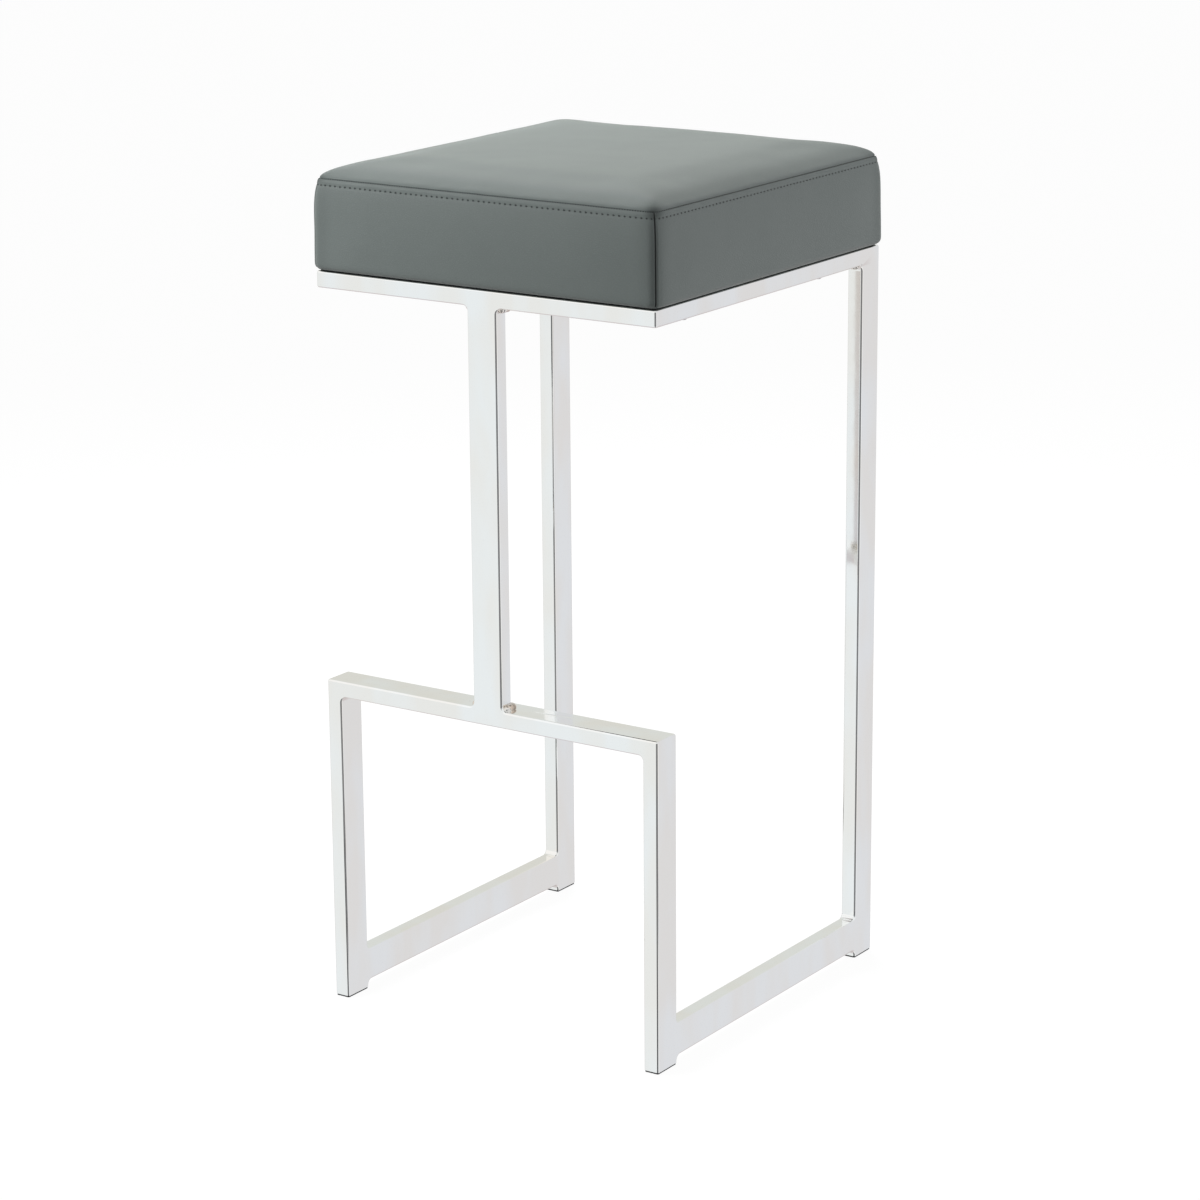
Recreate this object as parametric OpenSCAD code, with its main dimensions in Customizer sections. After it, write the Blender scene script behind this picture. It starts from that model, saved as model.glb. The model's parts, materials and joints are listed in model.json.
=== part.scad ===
// Bar stool with a boxed, upholstered seat pad on a welded frame of
// rectangular steel tube. The frame stands on two front legs that stop at
// a footrest, a centre post that carries the seat from that footrest, and
// two full height rear legs.
// Millimetres. X runs left to right, Y front to back, Z up. The origin is
// on the floor, under the middle of the seat.

/* [Frame] */
// Width of the steel frame over its outer faces
frame_w = 350; // [300:1:420]
// Depth of the steel frame over its outer faces
frame_d = 366; // [310:1:440]
// Height of the top of the seat frame above the floor
frame_h = 668; // [560:1:760]
// Height of the top of the footrest above the floor
footrest_h = 300; // [220:1:380]
// Gap between the lower end of a leg and the underside of the floor rail
floor_rail_gap = 6; // [4:0.5:14]

/* [Tube] */
// Wide side of the tube section
tube_wide = 30; // [24:1:36]
// Narrow side of the tube section
tube_thin = 15; // [12:0.5:20]
// Wall thickness of the tube
tube_wall = 1.5; // [1:0.1:1.9]
// Outer radius of the tube's long edges
tube_corner_r = 2; // [1.9:0.1:3]

/* [Welds] */
// Leg length of a weld fillet
weld_leg = 5; // [3:0.5:6]
// Thickness left at the toe of a weld fillet
weld_toe = 0.4; // [0.2:0.1:0.8]

/* [Feet] */
// Thickness of the foot glide below the end of the leg
glide_flange_t = 1.5; // [1:0.1:3]
// How far the glide stays inside the outline of the leg
glide_inset = 0.6; // [0.3:0.1:1.2]
// Length of the plug inside the leg
glide_plug_l = 12; // [8:1:20]
// Gap between the core of the plug and the inside of the tube
glide_core_gap = 1.2; // [0.8:0.1:2]
// Thickness of one gripping fin on the plug
glide_fin_t = 1.2; // [0.8:0.1:1.6]
// Gap between a fin and the inside of the tube
glide_fin_clear = 0.1; // [0.05:0.05:0.2]
// Number of gripping fins on the plug
glide_fins = 3; // [2:1:4]

/* [Cushion] */
// How far the widest part of the cushion stands out past the frame
cushion_overhang = 4.5; // [2:0.5:10]
// Height of the side bands, from the cushion's underside to the top seam
band_h = 80; // [50:1:110]
// How far the sides draw in from their widest part to the top seam
seam_draw_in = 3.5; // [1:0.5:6]
// How far the sides draw in from their widest part to the lower edge
base_draw_in = 1; // [0.5:0.5:3]
// Radius of the lower edge of the cushion
cushion_edge_r = 8; // [6:0.5:10]
// Radius of the upright corners of the cushion
cushion_corner_r = 10; // [8:0.5:16]
// Rise of the top panel over its rounded shoulder
shoulder_h = 8; // [4:0.5:12]
// Distance over which the shoulder rounds off
shoulder_l = 6; // [4:0.5:10]
// Further rise of the top panel towards its middle
crown_h = 4; // [1:0.5:12]
// Thickness of the leatherette cover
cover_t = 1.2; // [0.8:0.1:1.6]
// Width of cover turned in under the seat board
turn_in = 32; // [30:1:44]
// Thickness of the wadding round the foam and the board
wadding_t = 5; // [4:0.5:6]
// Gap between two soft layers
layer_gap = 0.3; // [0.2:0.05:0.4]
// Thickness of the plywood seat board
board_t = 12; // [10:0.5:18]
// Radius of the upright corners of the seat board
board_corner_r = 8; // [8:0.5:14]
// Thickness of the black dust cover under the cushion
dust_cover_t = 0.8; // [0.4:0.1:1.2]
// How far the dust cover stays inside the outline of the frame
dust_cover_inset = 3; // [2:0.5:6]

/* [Fixings] */
// How far the seat bolts stand inwards of the middle of the side rail
bolt_inset = 6.5; // [0:0.5:7]
// Distance between the front and the rear pair of seat bolts
bolt_spacing = 220; // [160:5:260]
// Thread diameter of the seat bolts
bolt_d = 6; // [5:0.5:6.5]
// Diameter of the bolt holes through the rails
bolt_hole_d = 6.6; // [6.6:0.1:7.6]
// Diameter of the bolt head
bolt_head_d = 10.5; // [9:0.5:12]
// Height of the bolt head
bolt_head_h = 3.3; // [2.6:0.1:4]
// Width across flats of the hexagon socket in the bolt head
bolt_socket_af = 4; // [3:0.5:5]
// Depth of the hexagon socket
bolt_socket_depth = 2; // [1.4:0.1:2.2]
// Distance from the bolt's tip to the top of the tee nut
bolt_tip_gap = 2.4; // [1:0.1:4]
// Radial gap between the bolt and what it passes through or into
thread_clear = 0.05; // [0.02:0.01:0.1]
// Diameter of the flat washers
washer_d = 12; // [11:0.5:14]
// Thickness of the flat washers
washer_t = 1.6; // [1:0.1:2]
// Outer diameter of the split spring washers
spring_washer_d = 11.4; // [10:0.2:12]
// Thickness of the split spring washers
spring_washer_t = 1.6; // [1:0.1:2]
// Radial gap between a washer and the bolt
washer_clear = 0.2; // [0.1:0.05:0.3]
// Width of the split in a spring washer
spring_washer_split = 1; // [0.6:0.1:1.6]
// Diameter of the tee nut's flange
tee_flange_d = 19; // [16:0.5:22]
// Thickness of the tee nut's flange
tee_flange_t = 1.5; // [1:0.1:2]
// Diameter of the tee nut's barrel
tee_barrel_d = 8; // [7.6:0.1:9]
// Length of the tee nut's barrel below its flange
tee_barrel_l = 8.5; // [7:0.5:8.5]
// Gap between the tee nut and the board
tee_clear = 0.1; // [0.05:0.05:0.2]
// Number of staples along each side of the cover
staples_per_side = 7; // [5:1:9]
// Width of a staple's crown
staple_crown = 10; // [8:0.5:12]
// Length of a staple's legs
staple_leg = 7; // [5:0.5:9]
// Thickness of the staple wire
staple_wire = 0.6; // [0.4:0.1:0.8]
// Distance from the inner edge of the turned in cover to the staples
staple_edge = 5; // [4:0.5:6]

/* [Hidden] */
$fn = 48;

// How far a cutting solid runs past what it cuts
cut_over = 1;

// Frame places
left = -1;
right = 1;
front = -1;
rear = 1;
outer_x = frame_w / 2;
outer_y = frame_d / 2;
leg_inner_x = outer_x - tube_thin;
tube_inner_r = tube_corner_r - tube_wall;
seat_rail_z = frame_h - tube_thin;
footrest_under_z = footrest_h - tube_thin;
floor_rail_z = glide_flange_t + floor_rail_gap;
floor_rail_top_z = floor_rail_z + tube_wide;
floor_rail_len = frame_d - 2 * tube_wide;
low_weld_leg = min(weld_leg, floor_rail_gap - weld_toe);

// Cushion places
cushion_z = frame_h + dust_cover_t;
board_z = cushion_z + cover_t;
board_top_z = board_z + board_t;
seam_z = cushion_z + band_h;
cushion_x = outer_x + cushion_overhang;
cushion_y = outer_y + cushion_overhang;
wadding_out = cover_t + layer_gap;
wadding_in = wadding_out + wadding_t;
foam_out = wadding_in + layer_gap;
board_w = 2 * (cushion_x - base_draw_in - foam_out);
board_d = 2 * (cushion_y - base_draw_in - foam_out);

// Steps of the cushion's mesh, round a corner and up each stretch
corner_steps = 6;
edge_steps = 4;
side_steps = 8;
top_steps = 10;
// Share of the half width that the last ring of the top panel lies in
top_reach_share = 0.92;

// Fixing places
bolt_x = outer_x - tube_wide / 2 - bolt_inset;
bolt_y = bolt_spacing / 2;
flat_washer_z = seat_rail_z - washer_t;
spring_washer_z = flat_washer_z - spring_washer_t;
bolt_r = bolt_d / 2;
bolt_tip_z = board_top_z - bolt_tip_gap;
bolt_tip_r = bolt_r - bolt_r / 6;
bolt_tip_l = bolt_r / 3;
bolt_dome_r = bolt_head_d / 3;
cover_hole_r = bolt_hole_d / 2 + thread_clear;
tee_bore_r = bolt_r + thread_clear;
staple_x = cushion_x - turn_in + staple_edge;
staple_y = cushion_y - turn_in + staple_edge;
staple_pitch_x = 2 * (cushion_x - 2 * turn_in) / (staples_per_side - 1);
staple_pitch_y = 2 * (cushion_y - 2 * turn_in) / (staples_per_side - 1);
// How far the middle of a side staple keeps from a bolt's, so that its legs miss the tee nut's hole
staple_bolt_gap = staple_crown / 2 + tee_barrel_d / 2 + tee_clear + staple_wire;

chrome = [0.86, 0.88, 0.88];
zinc = [0.72, 0.74, 0.75];
black = [0.06, 0.06, 0.07];
leatherette = [0.42, 0.46, 0.44];
plywood = [0.80, 0.66, 0.46];
foam = [0.90, 0.86, 0.70];
white_wadding = [0.93, 0.93, 0.92];

// Tube section

module rounded(a, b, r) {
    square([a - 2 * r, b], center = true);
    square([a, b - 2 * r], center = true);
    for (sx = [-1, 1], sy = [-1, 1])
        translate([sx * (a / 2 - r), sy * (b / 2 - r)]) circle(r);
}

module tube_section(a, b) {
    difference() {
        rounded(a, b, tube_corner_r);
        rounded(a - 2 * tube_wall, b - 2 * tube_wall, tube_inner_r);
    }
}

module tube_along_x(len, a, b) {
    translate([-len / 2, 0, 0]) rotate([90, 0, 90]) linear_extrude(len) tube_section(a, b);
}

module tube_along_y(len, a, b) {
    translate([0, -len / 2, 0]) rotate([-90, 0, 0]) linear_extrude(len) tube_section(a, b);
}

module tube_along_z(len, a, b) {
    linear_extrude(len) tube_section(a, b);
}

// Seat frame: four rails laid flat and mitred in plan

module bolt_holes() {
    for (sx = [left, right], sy = [front, rear])
        translate([sx * bolt_x, sy * bolt_y, seat_rail_z - cut_over])
            cylinder(r = bolt_hole_d / 2, h = tube_thin + 2 * cut_over);
}

module seat_rail_cross(side) {
    color(chrome) intersection() {
        translate([0, side * (outer_y - tube_wide / 2), seat_rail_z + tube_thin / 2])
            tube_along_x(frame_w, tube_wide, tube_thin);
        translate([0, 0, seat_rail_z - cut_over]) linear_extrude(tube_thin + 2 * cut_over)
            polygon([
                [-outer_x, side * outer_y],
                [outer_x, side * outer_y],
                [outer_x - tube_wide, side * (outer_y - tube_wide)],
                [tube_wide - outer_x, side * (outer_y - tube_wide)]
            ]);
    }
}

module seat_rail_side(side) {
    color(chrome) difference() {
        intersection() {
            translate([side * (outer_x - tube_wide / 2), 0, seat_rail_z + tube_thin / 2])
                tube_along_y(frame_d, tube_wide, tube_thin);
            translate([0, 0, seat_rail_z - cut_over]) linear_extrude(tube_thin + 2 * cut_over)
                polygon([
                    [side * outer_x, -outer_y],
                    [side * outer_x, outer_y],
                    [side * (outer_x - tube_wide), outer_y - tube_wide],
                    [side * (outer_x - tube_wide), tube_wide - outer_y]
                ]);
        }
        bolt_holes();
    }
}

// Post and footrest

module front_post() {
    color(chrome) translate([0, tube_thin / 2 - outer_y, footrest_h])
        tube_along_z(seat_rail_z - footrest_h, tube_wide, tube_thin);
}

// A slab that runs through the frame front to back, cut to an outline seen
// from the front, which gives the footrest and the front legs their mitres
module front_outline_slab(points) {
    translate([0, tube_wide + cut_over - outer_y, 0]) rotate([90, 0, 0])
        linear_extrude(tube_wide + 2 * cut_over) polygon(points);
}

module footrest_bar() {
    color(chrome) intersection() {
        translate([0, tube_wide / 2 - outer_y, footrest_h - tube_thin / 2])
            tube_along_x(frame_w, tube_wide, tube_thin);
        front_outline_slab([
            [-outer_x, footrest_h],
            [outer_x, footrest_h],
            [leg_inner_x, footrest_under_z],
            [-leg_inner_x, footrest_under_z]
        ]);
    }
}

// Legs and floor rails

module front_leg(side) {
    color(chrome) intersection() {
        translate([side * (outer_x - tube_thin / 2), tube_wide / 2 - outer_y, glide_flange_t])
            tube_along_z(footrest_h - glide_flange_t, tube_thin, tube_wide);
        front_outline_slab([
            [side * outer_x, 0],
            [side * outer_x, footrest_h],
            [side * leg_inner_x, footrest_under_z],
            [side * leg_inner_x, 0]
        ]);
    }
}

module rear_leg(side) {
    color(chrome)
        translate([side * (outer_x - tube_thin / 2), outer_y - tube_wide / 2, glide_flange_t])
            tube_along_z(seat_rail_z - glide_flange_t, tube_thin, tube_wide);
}

module floor_rail(side) {
    color(chrome)
        translate([side * (outer_x - tube_thin / 2), 0, floor_rail_z + tube_wide / 2])
            tube_along_y(floor_rail_len, tube_thin, tube_wide);
}

// Weld fillets. The outline fills the corner between +X and +Y.

module fillet_outline(leg) {
    difference() {
        square(leg);
        translate([leg + weld_toe, leg + weld_toe]) circle(leg);
    }
}

// Fillet in a corner seen from the front, sx and sz the way it opens
module fillet_along_y(sx, sz, len, leg) {
    translate([0, len / 2, 0]) rotate([90, 0, 0]) linear_extrude(len)
        mirror([sx < 0 ? 1 : 0, 0]) mirror([0, sz < 0 ? 1 : 0]) fillet_outline(leg);
}

// Fillet in a corner seen from the right, sy and sz the way it opens
module fillet_along_x(sy, sz, len, leg) {
    translate([-len / 2, 0, 0]) rotate([90, 0, 90]) linear_extrude(len)
        mirror([sy < 0 ? 1 : 0, 0]) mirror([0, sz < 0 ? 1 : 0]) fillet_outline(leg);
}

module post_welds() {
    color(chrome) for (end = [[seat_rail_z, -1], [footrest_h, 1]]) {
        for (side = [left, right])
            translate([side * tube_wide / 2, tube_thin / 2 - outer_y, end[0]])
                fillet_along_y(side, end[1], tube_thin - 2 * tube_corner_r, weld_leg);
        translate([0, tube_thin - outer_y, end[0]])
            fillet_along_x(1, end[1], tube_wide - 2 * tube_corner_r, weld_leg);
    }
}

module footrest_welds() {
    color(chrome) for (side = [left, right])
        translate([side * leg_inner_x, tube_wide / 2 - outer_y, footrest_under_z])
            fillet_along_y(-side, -1, tube_wide - 2 * tube_corner_r, weld_leg);
}

module floor_rail_welds() {
    color(chrome) for (side = [left, right], end = [front, rear])
        translate([side * (outer_x - tube_thin / 2), end * floor_rail_len / 2, 0]) {
            translate([0, 0, floor_rail_top_z])
                fillet_along_x(-end, 1, tube_thin - 2 * tube_corner_r, weld_leg);
            translate([0, 0, floor_rail_z])
                fillet_along_x(-end, -1, tube_thin - 2 * tube_corner_r, low_weld_leg);
        }
}

module rear_leg_welds() {
    color(chrome) for (side = [left, right]) {
        translate([side * (outer_x - tube_thin / 2), outer_y - tube_wide, seat_rail_z])
            fillet_along_x(-1, -1, tube_thin - 2 * tube_corner_r, weld_leg);
        translate([side * leg_inner_x, outer_y - tube_wide / 2, seat_rail_z])
            fillet_along_y(-side, -1, tube_wide - 2 * tube_corner_r, weld_leg);
    }
}

// Foot glides: a flange under the leg and a finned plug inside it

module glide(side, end) {
    in_a = tube_thin - 2 * tube_wall;
    in_b = tube_wide - 2 * tube_wall;
    fin_pitch = (glide_plug_l - glide_fin_t) / glide_fins;
    color(black) translate([side * (outer_x - tube_thin / 2), end * (outer_y - tube_wide / 2), 0]) {
        linear_extrude(glide_flange_t)
            rounded(tube_thin - 2 * glide_inset, tube_wide - 2 * glide_inset, tube_corner_r - glide_inset);
        linear_extrude(glide_flange_t + glide_plug_l)
            square([in_a - 2 * glide_core_gap, in_b - 2 * glide_core_gap], center = true);
        for (i = [1:glide_fins])
            translate([0, 0, glide_flange_t + i * fin_pitch]) linear_extrude(glide_fin_t)
                rounded(in_a - 2 * glide_fin_clear, in_b - 2 * glide_fin_clear, tube_inner_r);
    }
}

// Cushion form. Each ring is a rounded rectangle: how far it lies in from
// the widest outline, its height, and the radius of its corners. A layer
// deeper in the cushion has every face moved in by the same amount.

function least(value) = max(value, layer_gap);

function edge_ring(inset, i) =
    let (r = least(cushion_edge_r - inset), a = 90 * i / edge_steps)
    [base_draw_in + r * (1 - sin(a)), cushion_z + inset + r * (1 - cos(a)), base_draw_in];

function side_draw_in(t) = t < 0.5
    ? base_draw_in * pow(1 - 2 * t, 2)
    : seam_draw_in * pow(2 * t - 1, 2);

function side_ring(inset, i) =
    let (t = i / side_steps, low = cushion_z + inset + least(cushion_edge_r - inset))
    [side_draw_in(t), low + t * (seam_z - inset - low), side_draw_in(t)];

function top_ring(inset, i) =
    let (
        u = pow(i / top_steps, 2),
        reach = top_reach_share * (min(cushion_x, cushion_y) - inset - seam_draw_in),
        d = u * reach,
        rise = shoulder_h * (1 - exp(-d / shoulder_l)) + crown_h * (1 - pow(1 - u, 2)),
        corner = least(cushion_corner_r - inset - seam_draw_in),
        last = min(cushion_x, cushion_y) - inset - seam_draw_in - reach
    )
    [seam_draw_in + d, seam_z - inset + rise, cushion_corner_r - inset - corner - u * (last - corner)];

function cushion_rings(inset) = [
    for (i = [0:edge_steps]) edge_ring(inset, i),
    for (i = [1:side_steps]) side_ring(inset, i),
    for (i = [1:top_steps]) top_ring(inset, i)
];

function ring_points(inset, ring) =
    let (
        a = cushion_x - inset - ring[0],
        b = cushion_y - inset - ring[0],
        r = least(cushion_corner_r - inset - ring[2])
    )
    [
        for (c = [0:3], j = [0:corner_steps])
            let (
                angle = 90 * (c + j / corner_steps),
                sx = (c == 0 || c == 3) ? 1 : -1,
                sy = c < 2 ? 1 : -1
            )
            [sx * (a - r) + r * cos(angle), sy * (b - r) + r * sin(angle), ring[1]]
    ];

module cushion_form(inset) {
    rings = cushion_rings(inset);
    n = 4 * (corner_steps + 1);
    last = len(rings) - 1;
    points = [for (ring = rings) each ring_points(inset, ring)];
    polyhedron(points, [
        [for (j = [0:n - 1]) j],
        for (k = [0:last - 1], j = [0:n - 1])
            [k * n + j, (k + 1) * n + j, (k + 1) * n + (j + 1) % n, k * n + (j + 1) % n],
        [for (j = [n - 1:-1:0]) last * n + j]
    ]);
}

module cover_shell() {
    difference() {
        cushion_form(0);
        cushion_form(cover_t);
    }
}

// Space taken by the seat board, with a gap round it
module board_pocket(gap) {
    translate([0, 0, cushion_z]) linear_extrude(board_top_z - cushion_z)
        rounded(board_w + 2 * gap, board_d + 2 * gap, board_corner_r + gap);
}

module cover_top() {
    color(leatherette) difference() {
        cover_shell();
        translate([0, 0, cushion_z - cut_over]) linear_extrude(band_h + cut_over)
            square([2 * cushion_x + 2 * cut_over, 2 * cushion_y + 2 * cut_over], center = true);
    }
}

module cover_holes() {
    for (sx = [left, right], sy = [front, rear])
        translate([sx * bolt_x, sy * bolt_y, frame_h - cut_over])
            cylinder(r = cover_hole_r, h = dust_cover_t + cover_t + 2 * cut_over);
}

// One side band with its turned in edge, mitred to its neighbours
module cover_band(points) {
    color(leatherette) difference() {
        intersection() {
            cover_shell();
            translate([0, 0, cushion_z - cut_over]) linear_extrude(band_h + cut_over) polygon(points);
        }
        cover_holes();
    }
}

module cover_band_cross(side) {
    cover_band([
        [-cushion_x - cut_over, side * (cushion_y + cut_over)],
        [cushion_x + cut_over, side * (cushion_y + cut_over)],
        [cushion_x - turn_in, side * (cushion_y - turn_in)],
        [turn_in - cushion_x, side * (cushion_y - turn_in)]
    ]);
}

module cover_band_side(side) {
    cover_band([
        [side * (cushion_x + cut_over), -cushion_y - cut_over],
        [side * (cushion_x + cut_over), cushion_y + cut_over],
        [side * (cushion_x - turn_in), cushion_y - turn_in],
        [side * (cushion_x - turn_in), turn_in - cushion_y]
    ]);
}

module wadding() {
    color(white_wadding) difference() {
        cushion_form(wadding_out);
        cushion_form(wadding_in);
        board_pocket(layer_gap);
    }
}

module foam_block() {
    color(foam) difference() {
        cushion_form(foam_out);
        board_pocket(2 * wadding_t);
    }
}

module seat_board() {
    color(plywood) difference() {
        translate([0, 0, board_z]) linear_extrude(board_t) rounded(board_w, board_d, board_corner_r);
        for (sx = [left, right], sy = [front, rear])
            translate([sx * bolt_x, sy * bolt_y, 0]) {
                translate([0, 0, board_z - cut_over])
                    cylinder(r = tee_barrel_d / 2 + tee_clear, h = board_t + 2 * cut_over);
                translate([0, 0, board_top_z - tee_flange_t])
                    cylinder(r = tee_flange_d / 2 + tee_clear, h = tee_flange_t + cut_over);
            }
    }
}

module dust_cover() {
    color(black) difference() {
        translate([0, 0, frame_h]) linear_extrude(dust_cover_t)
            square([frame_w - 2 * dust_cover_inset, frame_d - 2 * dust_cover_inset], center = true);
        cover_holes();
    }
}

// Staples, pressed flush into the turned in cover and driven into the board

module staple() {
    half = staple_crown / 2;
    translate([0, staple_wire / 2, 0]) rotate([90, 0, 0]) linear_extrude(staple_wire)
        polygon([
            [-half, 0],
            [half, 0],
            [half, staple_leg],
            [half - staple_wire, staple_leg],
            [half - staple_wire, staple_wire],
            [staple_wire - half, staple_wire],
            [staple_wire - half, staple_leg],
            [-half, staple_leg]
        ]);
}

// A side staple that would meet a bolt is driven beside it
function beside_bolt(y) =
    abs(abs(y) - bolt_y) < staple_bolt_gap
        ? sign(y) * (abs(y) < bolt_y ? bolt_y - staple_bolt_gap : bolt_y + staple_bolt_gap)
        : y;

module staples() {
    color(zinc) for (i = [0:staples_per_side - 1], side = [-1, 1]) {
        along = i - (staples_per_side - 1) / 2;
        translate([along * staple_pitch_x, side * staple_y, cushion_z]) staple();
        translate([side * staple_x, beside_bolt(along * staple_pitch_y), cushion_z])
            rotate([0, 0, 90]) staple();
    }
}

// Bolts, washers and tee nuts, one set in each of four places

module at_bolts() {
    for (sx = [left, right], sy = [front, rear]) translate([sx * bolt_x, sy * bolt_y, 0]) children();
}

module tee_nuts() {
    color(zinc) at_bolts() difference() {
        union() {
            translate([0, 0, board_top_z - tee_flange_t]) cylinder(r = tee_flange_d / 2, h = tee_flange_t);
            translate([0, 0, board_top_z - tee_flange_t - tee_barrel_l])
                cylinder(r = tee_barrel_d / 2, h = tee_barrel_l);
        }
        translate([0, 0, board_z - cut_over]) cylinder(r = tee_bore_r, h = board_t + 2 * cut_over);
    }
}

module seat_bolts() {
    color(zinc) at_bolts() difference() {
        union() {
            translate([0, 0, spring_washer_z]) cylinder(r = bolt_r, h = bolt_tip_z - bolt_tip_l - spring_washer_z);
            translate([0, 0, bolt_tip_z - bolt_tip_l]) cylinder(r1 = bolt_r, r2 = bolt_tip_r, h = bolt_tip_l);
            translate([0, 0, spring_washer_z - bolt_head_h])
                cylinder(r1 = bolt_dome_r, r2 = bolt_head_d / 2, h = bolt_head_h / 2);
            translate([0, 0, spring_washer_z - bolt_head_h / 2])
                cylinder(r = bolt_head_d / 2, h = bolt_head_h / 2);
        }
        translate([0, 0, spring_washer_z - bolt_head_h - cut_over])
            cylinder(r = bolt_socket_af / 2 / cos(30), h = bolt_socket_depth + cut_over, $fn = 6);
    }
}

module washer_ring(d, t) {
    difference() {
        cylinder(r = d / 2, h = t);
        translate([0, 0, -cut_over]) cylinder(r = bolt_r + washer_clear, h = t + 2 * cut_over);
    }
}

module flat_washers() {
    color(zinc) at_bolts() translate([0, 0, flat_washer_z]) washer_ring(washer_d, washer_t);
}

module spring_washers() {
    color(zinc) at_bolts() translate([0, 0, spring_washer_z]) difference() {
        washer_ring(spring_washer_d, spring_washer_t);
        translate([0, -spring_washer_split / 2, -cut_over])
            cube([spring_washer_d, spring_washer_split, spring_washer_t + 2 * cut_over]);
    }
}

seat_rail_cross(front);  // seat_rail_front
seat_rail_cross(rear);  // seat_rail_rear
seat_rail_side(left);  // seat_rail_left
seat_rail_side(right);  // seat_rail_right
front_post();
footrest_bar();
front_leg(left);  // front_leg_left
front_leg(right);  // front_leg_right
rear_leg(left);  // rear_leg_left
rear_leg(right);  // rear_leg_right
floor_rail(left);  // floor_rail_left
floor_rail(right);  // floor_rail_right
post_welds();
footrest_welds();
floor_rail_welds();
rear_leg_welds();
glide(left, front);  // glide_front_left
glide(right, front);  // glide_front_right
glide(left, rear);  // glide_rear_left
glide(right, rear);  // glide_rear_right
seat_board();
foam_block();
wadding();
cover_top();
cover_band_cross(front);  // cover_band_front
cover_band_cross(rear);  // cover_band_rear
cover_band_side(left);  // cover_band_left
cover_band_side(right);  // cover_band_right
dust_cover();
staples();
tee_nuts();
seat_bolts();
flat_washers();
spring_washers();
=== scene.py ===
"""Looks of a bar stool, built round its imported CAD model.

The steel frame is welded from sharp blocks, filleted, rounded and polished as one mesh, and then
cut at its joints, so that each member stands for its own CAD node with no step between them. The
cushion is a sewn cover over foam: a structured mesh that a cloth simulation inflates, with its
seams, stitches and needle holes added afterwards.
"""

import json
import math

import bmesh
import bpy
from mathutils import Matrix, Vector, noise
from mathutils.kdtree import KDTree

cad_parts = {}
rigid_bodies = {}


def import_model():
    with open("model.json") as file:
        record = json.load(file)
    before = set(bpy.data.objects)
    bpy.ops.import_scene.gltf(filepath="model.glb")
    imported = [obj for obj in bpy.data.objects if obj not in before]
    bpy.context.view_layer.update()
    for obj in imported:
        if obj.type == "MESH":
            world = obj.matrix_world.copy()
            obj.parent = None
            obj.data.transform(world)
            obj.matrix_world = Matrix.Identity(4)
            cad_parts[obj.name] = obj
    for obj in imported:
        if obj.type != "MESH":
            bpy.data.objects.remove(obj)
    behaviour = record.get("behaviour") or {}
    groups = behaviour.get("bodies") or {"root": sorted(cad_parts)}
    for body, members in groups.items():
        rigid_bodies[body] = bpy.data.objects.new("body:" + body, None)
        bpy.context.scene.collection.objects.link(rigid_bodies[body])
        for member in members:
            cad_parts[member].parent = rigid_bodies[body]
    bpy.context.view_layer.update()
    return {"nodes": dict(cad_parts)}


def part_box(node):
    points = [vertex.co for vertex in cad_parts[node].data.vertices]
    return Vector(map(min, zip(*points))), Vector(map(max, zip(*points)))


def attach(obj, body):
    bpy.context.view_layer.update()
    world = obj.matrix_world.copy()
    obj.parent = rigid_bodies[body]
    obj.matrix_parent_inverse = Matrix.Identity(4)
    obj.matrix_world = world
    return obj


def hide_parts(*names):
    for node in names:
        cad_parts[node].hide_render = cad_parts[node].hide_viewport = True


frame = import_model()

bl_info = {
    "name": "Chrome Bar Stool",
    "version": (1, 0, 0),
    "blender": (4, 5, 0),
    "location": "View3D > Sidebar > Bar Stool",
    "description": "Makes the looks of a bar stool round its packed CAD model",
    "category": "Add Mesh",
}

BODY = "root"
MM = 0.001
# Nearer than this, two places on the flat panels are the same
SAME = 0.001 * MM
# Nearer than this, a point of a mesh lies in a plane
TOUCHING = 0.01 * MM
X, Y, Z = Vector((1, 0, 0)), Vector((0, 1, 0)), Vector((0, 0, 1))
SIGNS = (-1, 1)

# Places read from the CAD frame, in metres
RAIL_LOW, RAIL_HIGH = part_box("seat_rail_front")
REST_LOW, REST_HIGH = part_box("footrest_bar")
POST_LOW, POST_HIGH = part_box("front_post")
FLOOR_LOW, FLOOR_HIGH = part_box("floor_rail_right")
DUST_LOW, DUST_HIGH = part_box("dust_cover")
BAND_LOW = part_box("cover_band_front")[0]
COVER_HALF_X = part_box("cover_band_right")[1].x
BOARD_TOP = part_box("seat_board")[1].z
LEG_INNER_X, _, FOOT_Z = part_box("rear_leg_right")[0]
OUTER_X, OUTER_Y = RAIL_HIGH.x, -RAIL_LOW.y
TUBE_WIDE = RAIL_HIGH.y - RAIL_LOW.y
TUBE_THIN = RAIL_HIGH.z - RAIL_LOW.z
INNER_X, INNER_Y = OUTER_X - TUBE_WIDE, OUTER_Y - TUBE_WIDE
RAIL_UNDER, RAIL_TOP = RAIL_LOW.z, RAIL_HIGH.z
REST_UNDER, REST_TOP = REST_LOW.z, REST_HIGH.z
FLOOR_RAIL_Y = FLOOR_HIGH.y
# The post's two ends, with the way from each into the open bay
POST_ENDS = ((RAIL_UNDER, -1), (REST_TOP, 1))
BAND_HEIGHT = 80 * MM


# Properties

def length(name, description, value):
    """A length that is given in millimetres."""
    return bpy.props.FloatProperty(name=name, description=description, default=value * MM, unit="LENGTH")


def angle(name, description, degrees):
    return bpy.props.FloatProperty(name=name, description=description, default=math.radians(degrees),
                                   unit="ROTATION")


def colour(name, description, value):
    return bpy.props.StringProperty(name=name, description=description, default=value)


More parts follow.
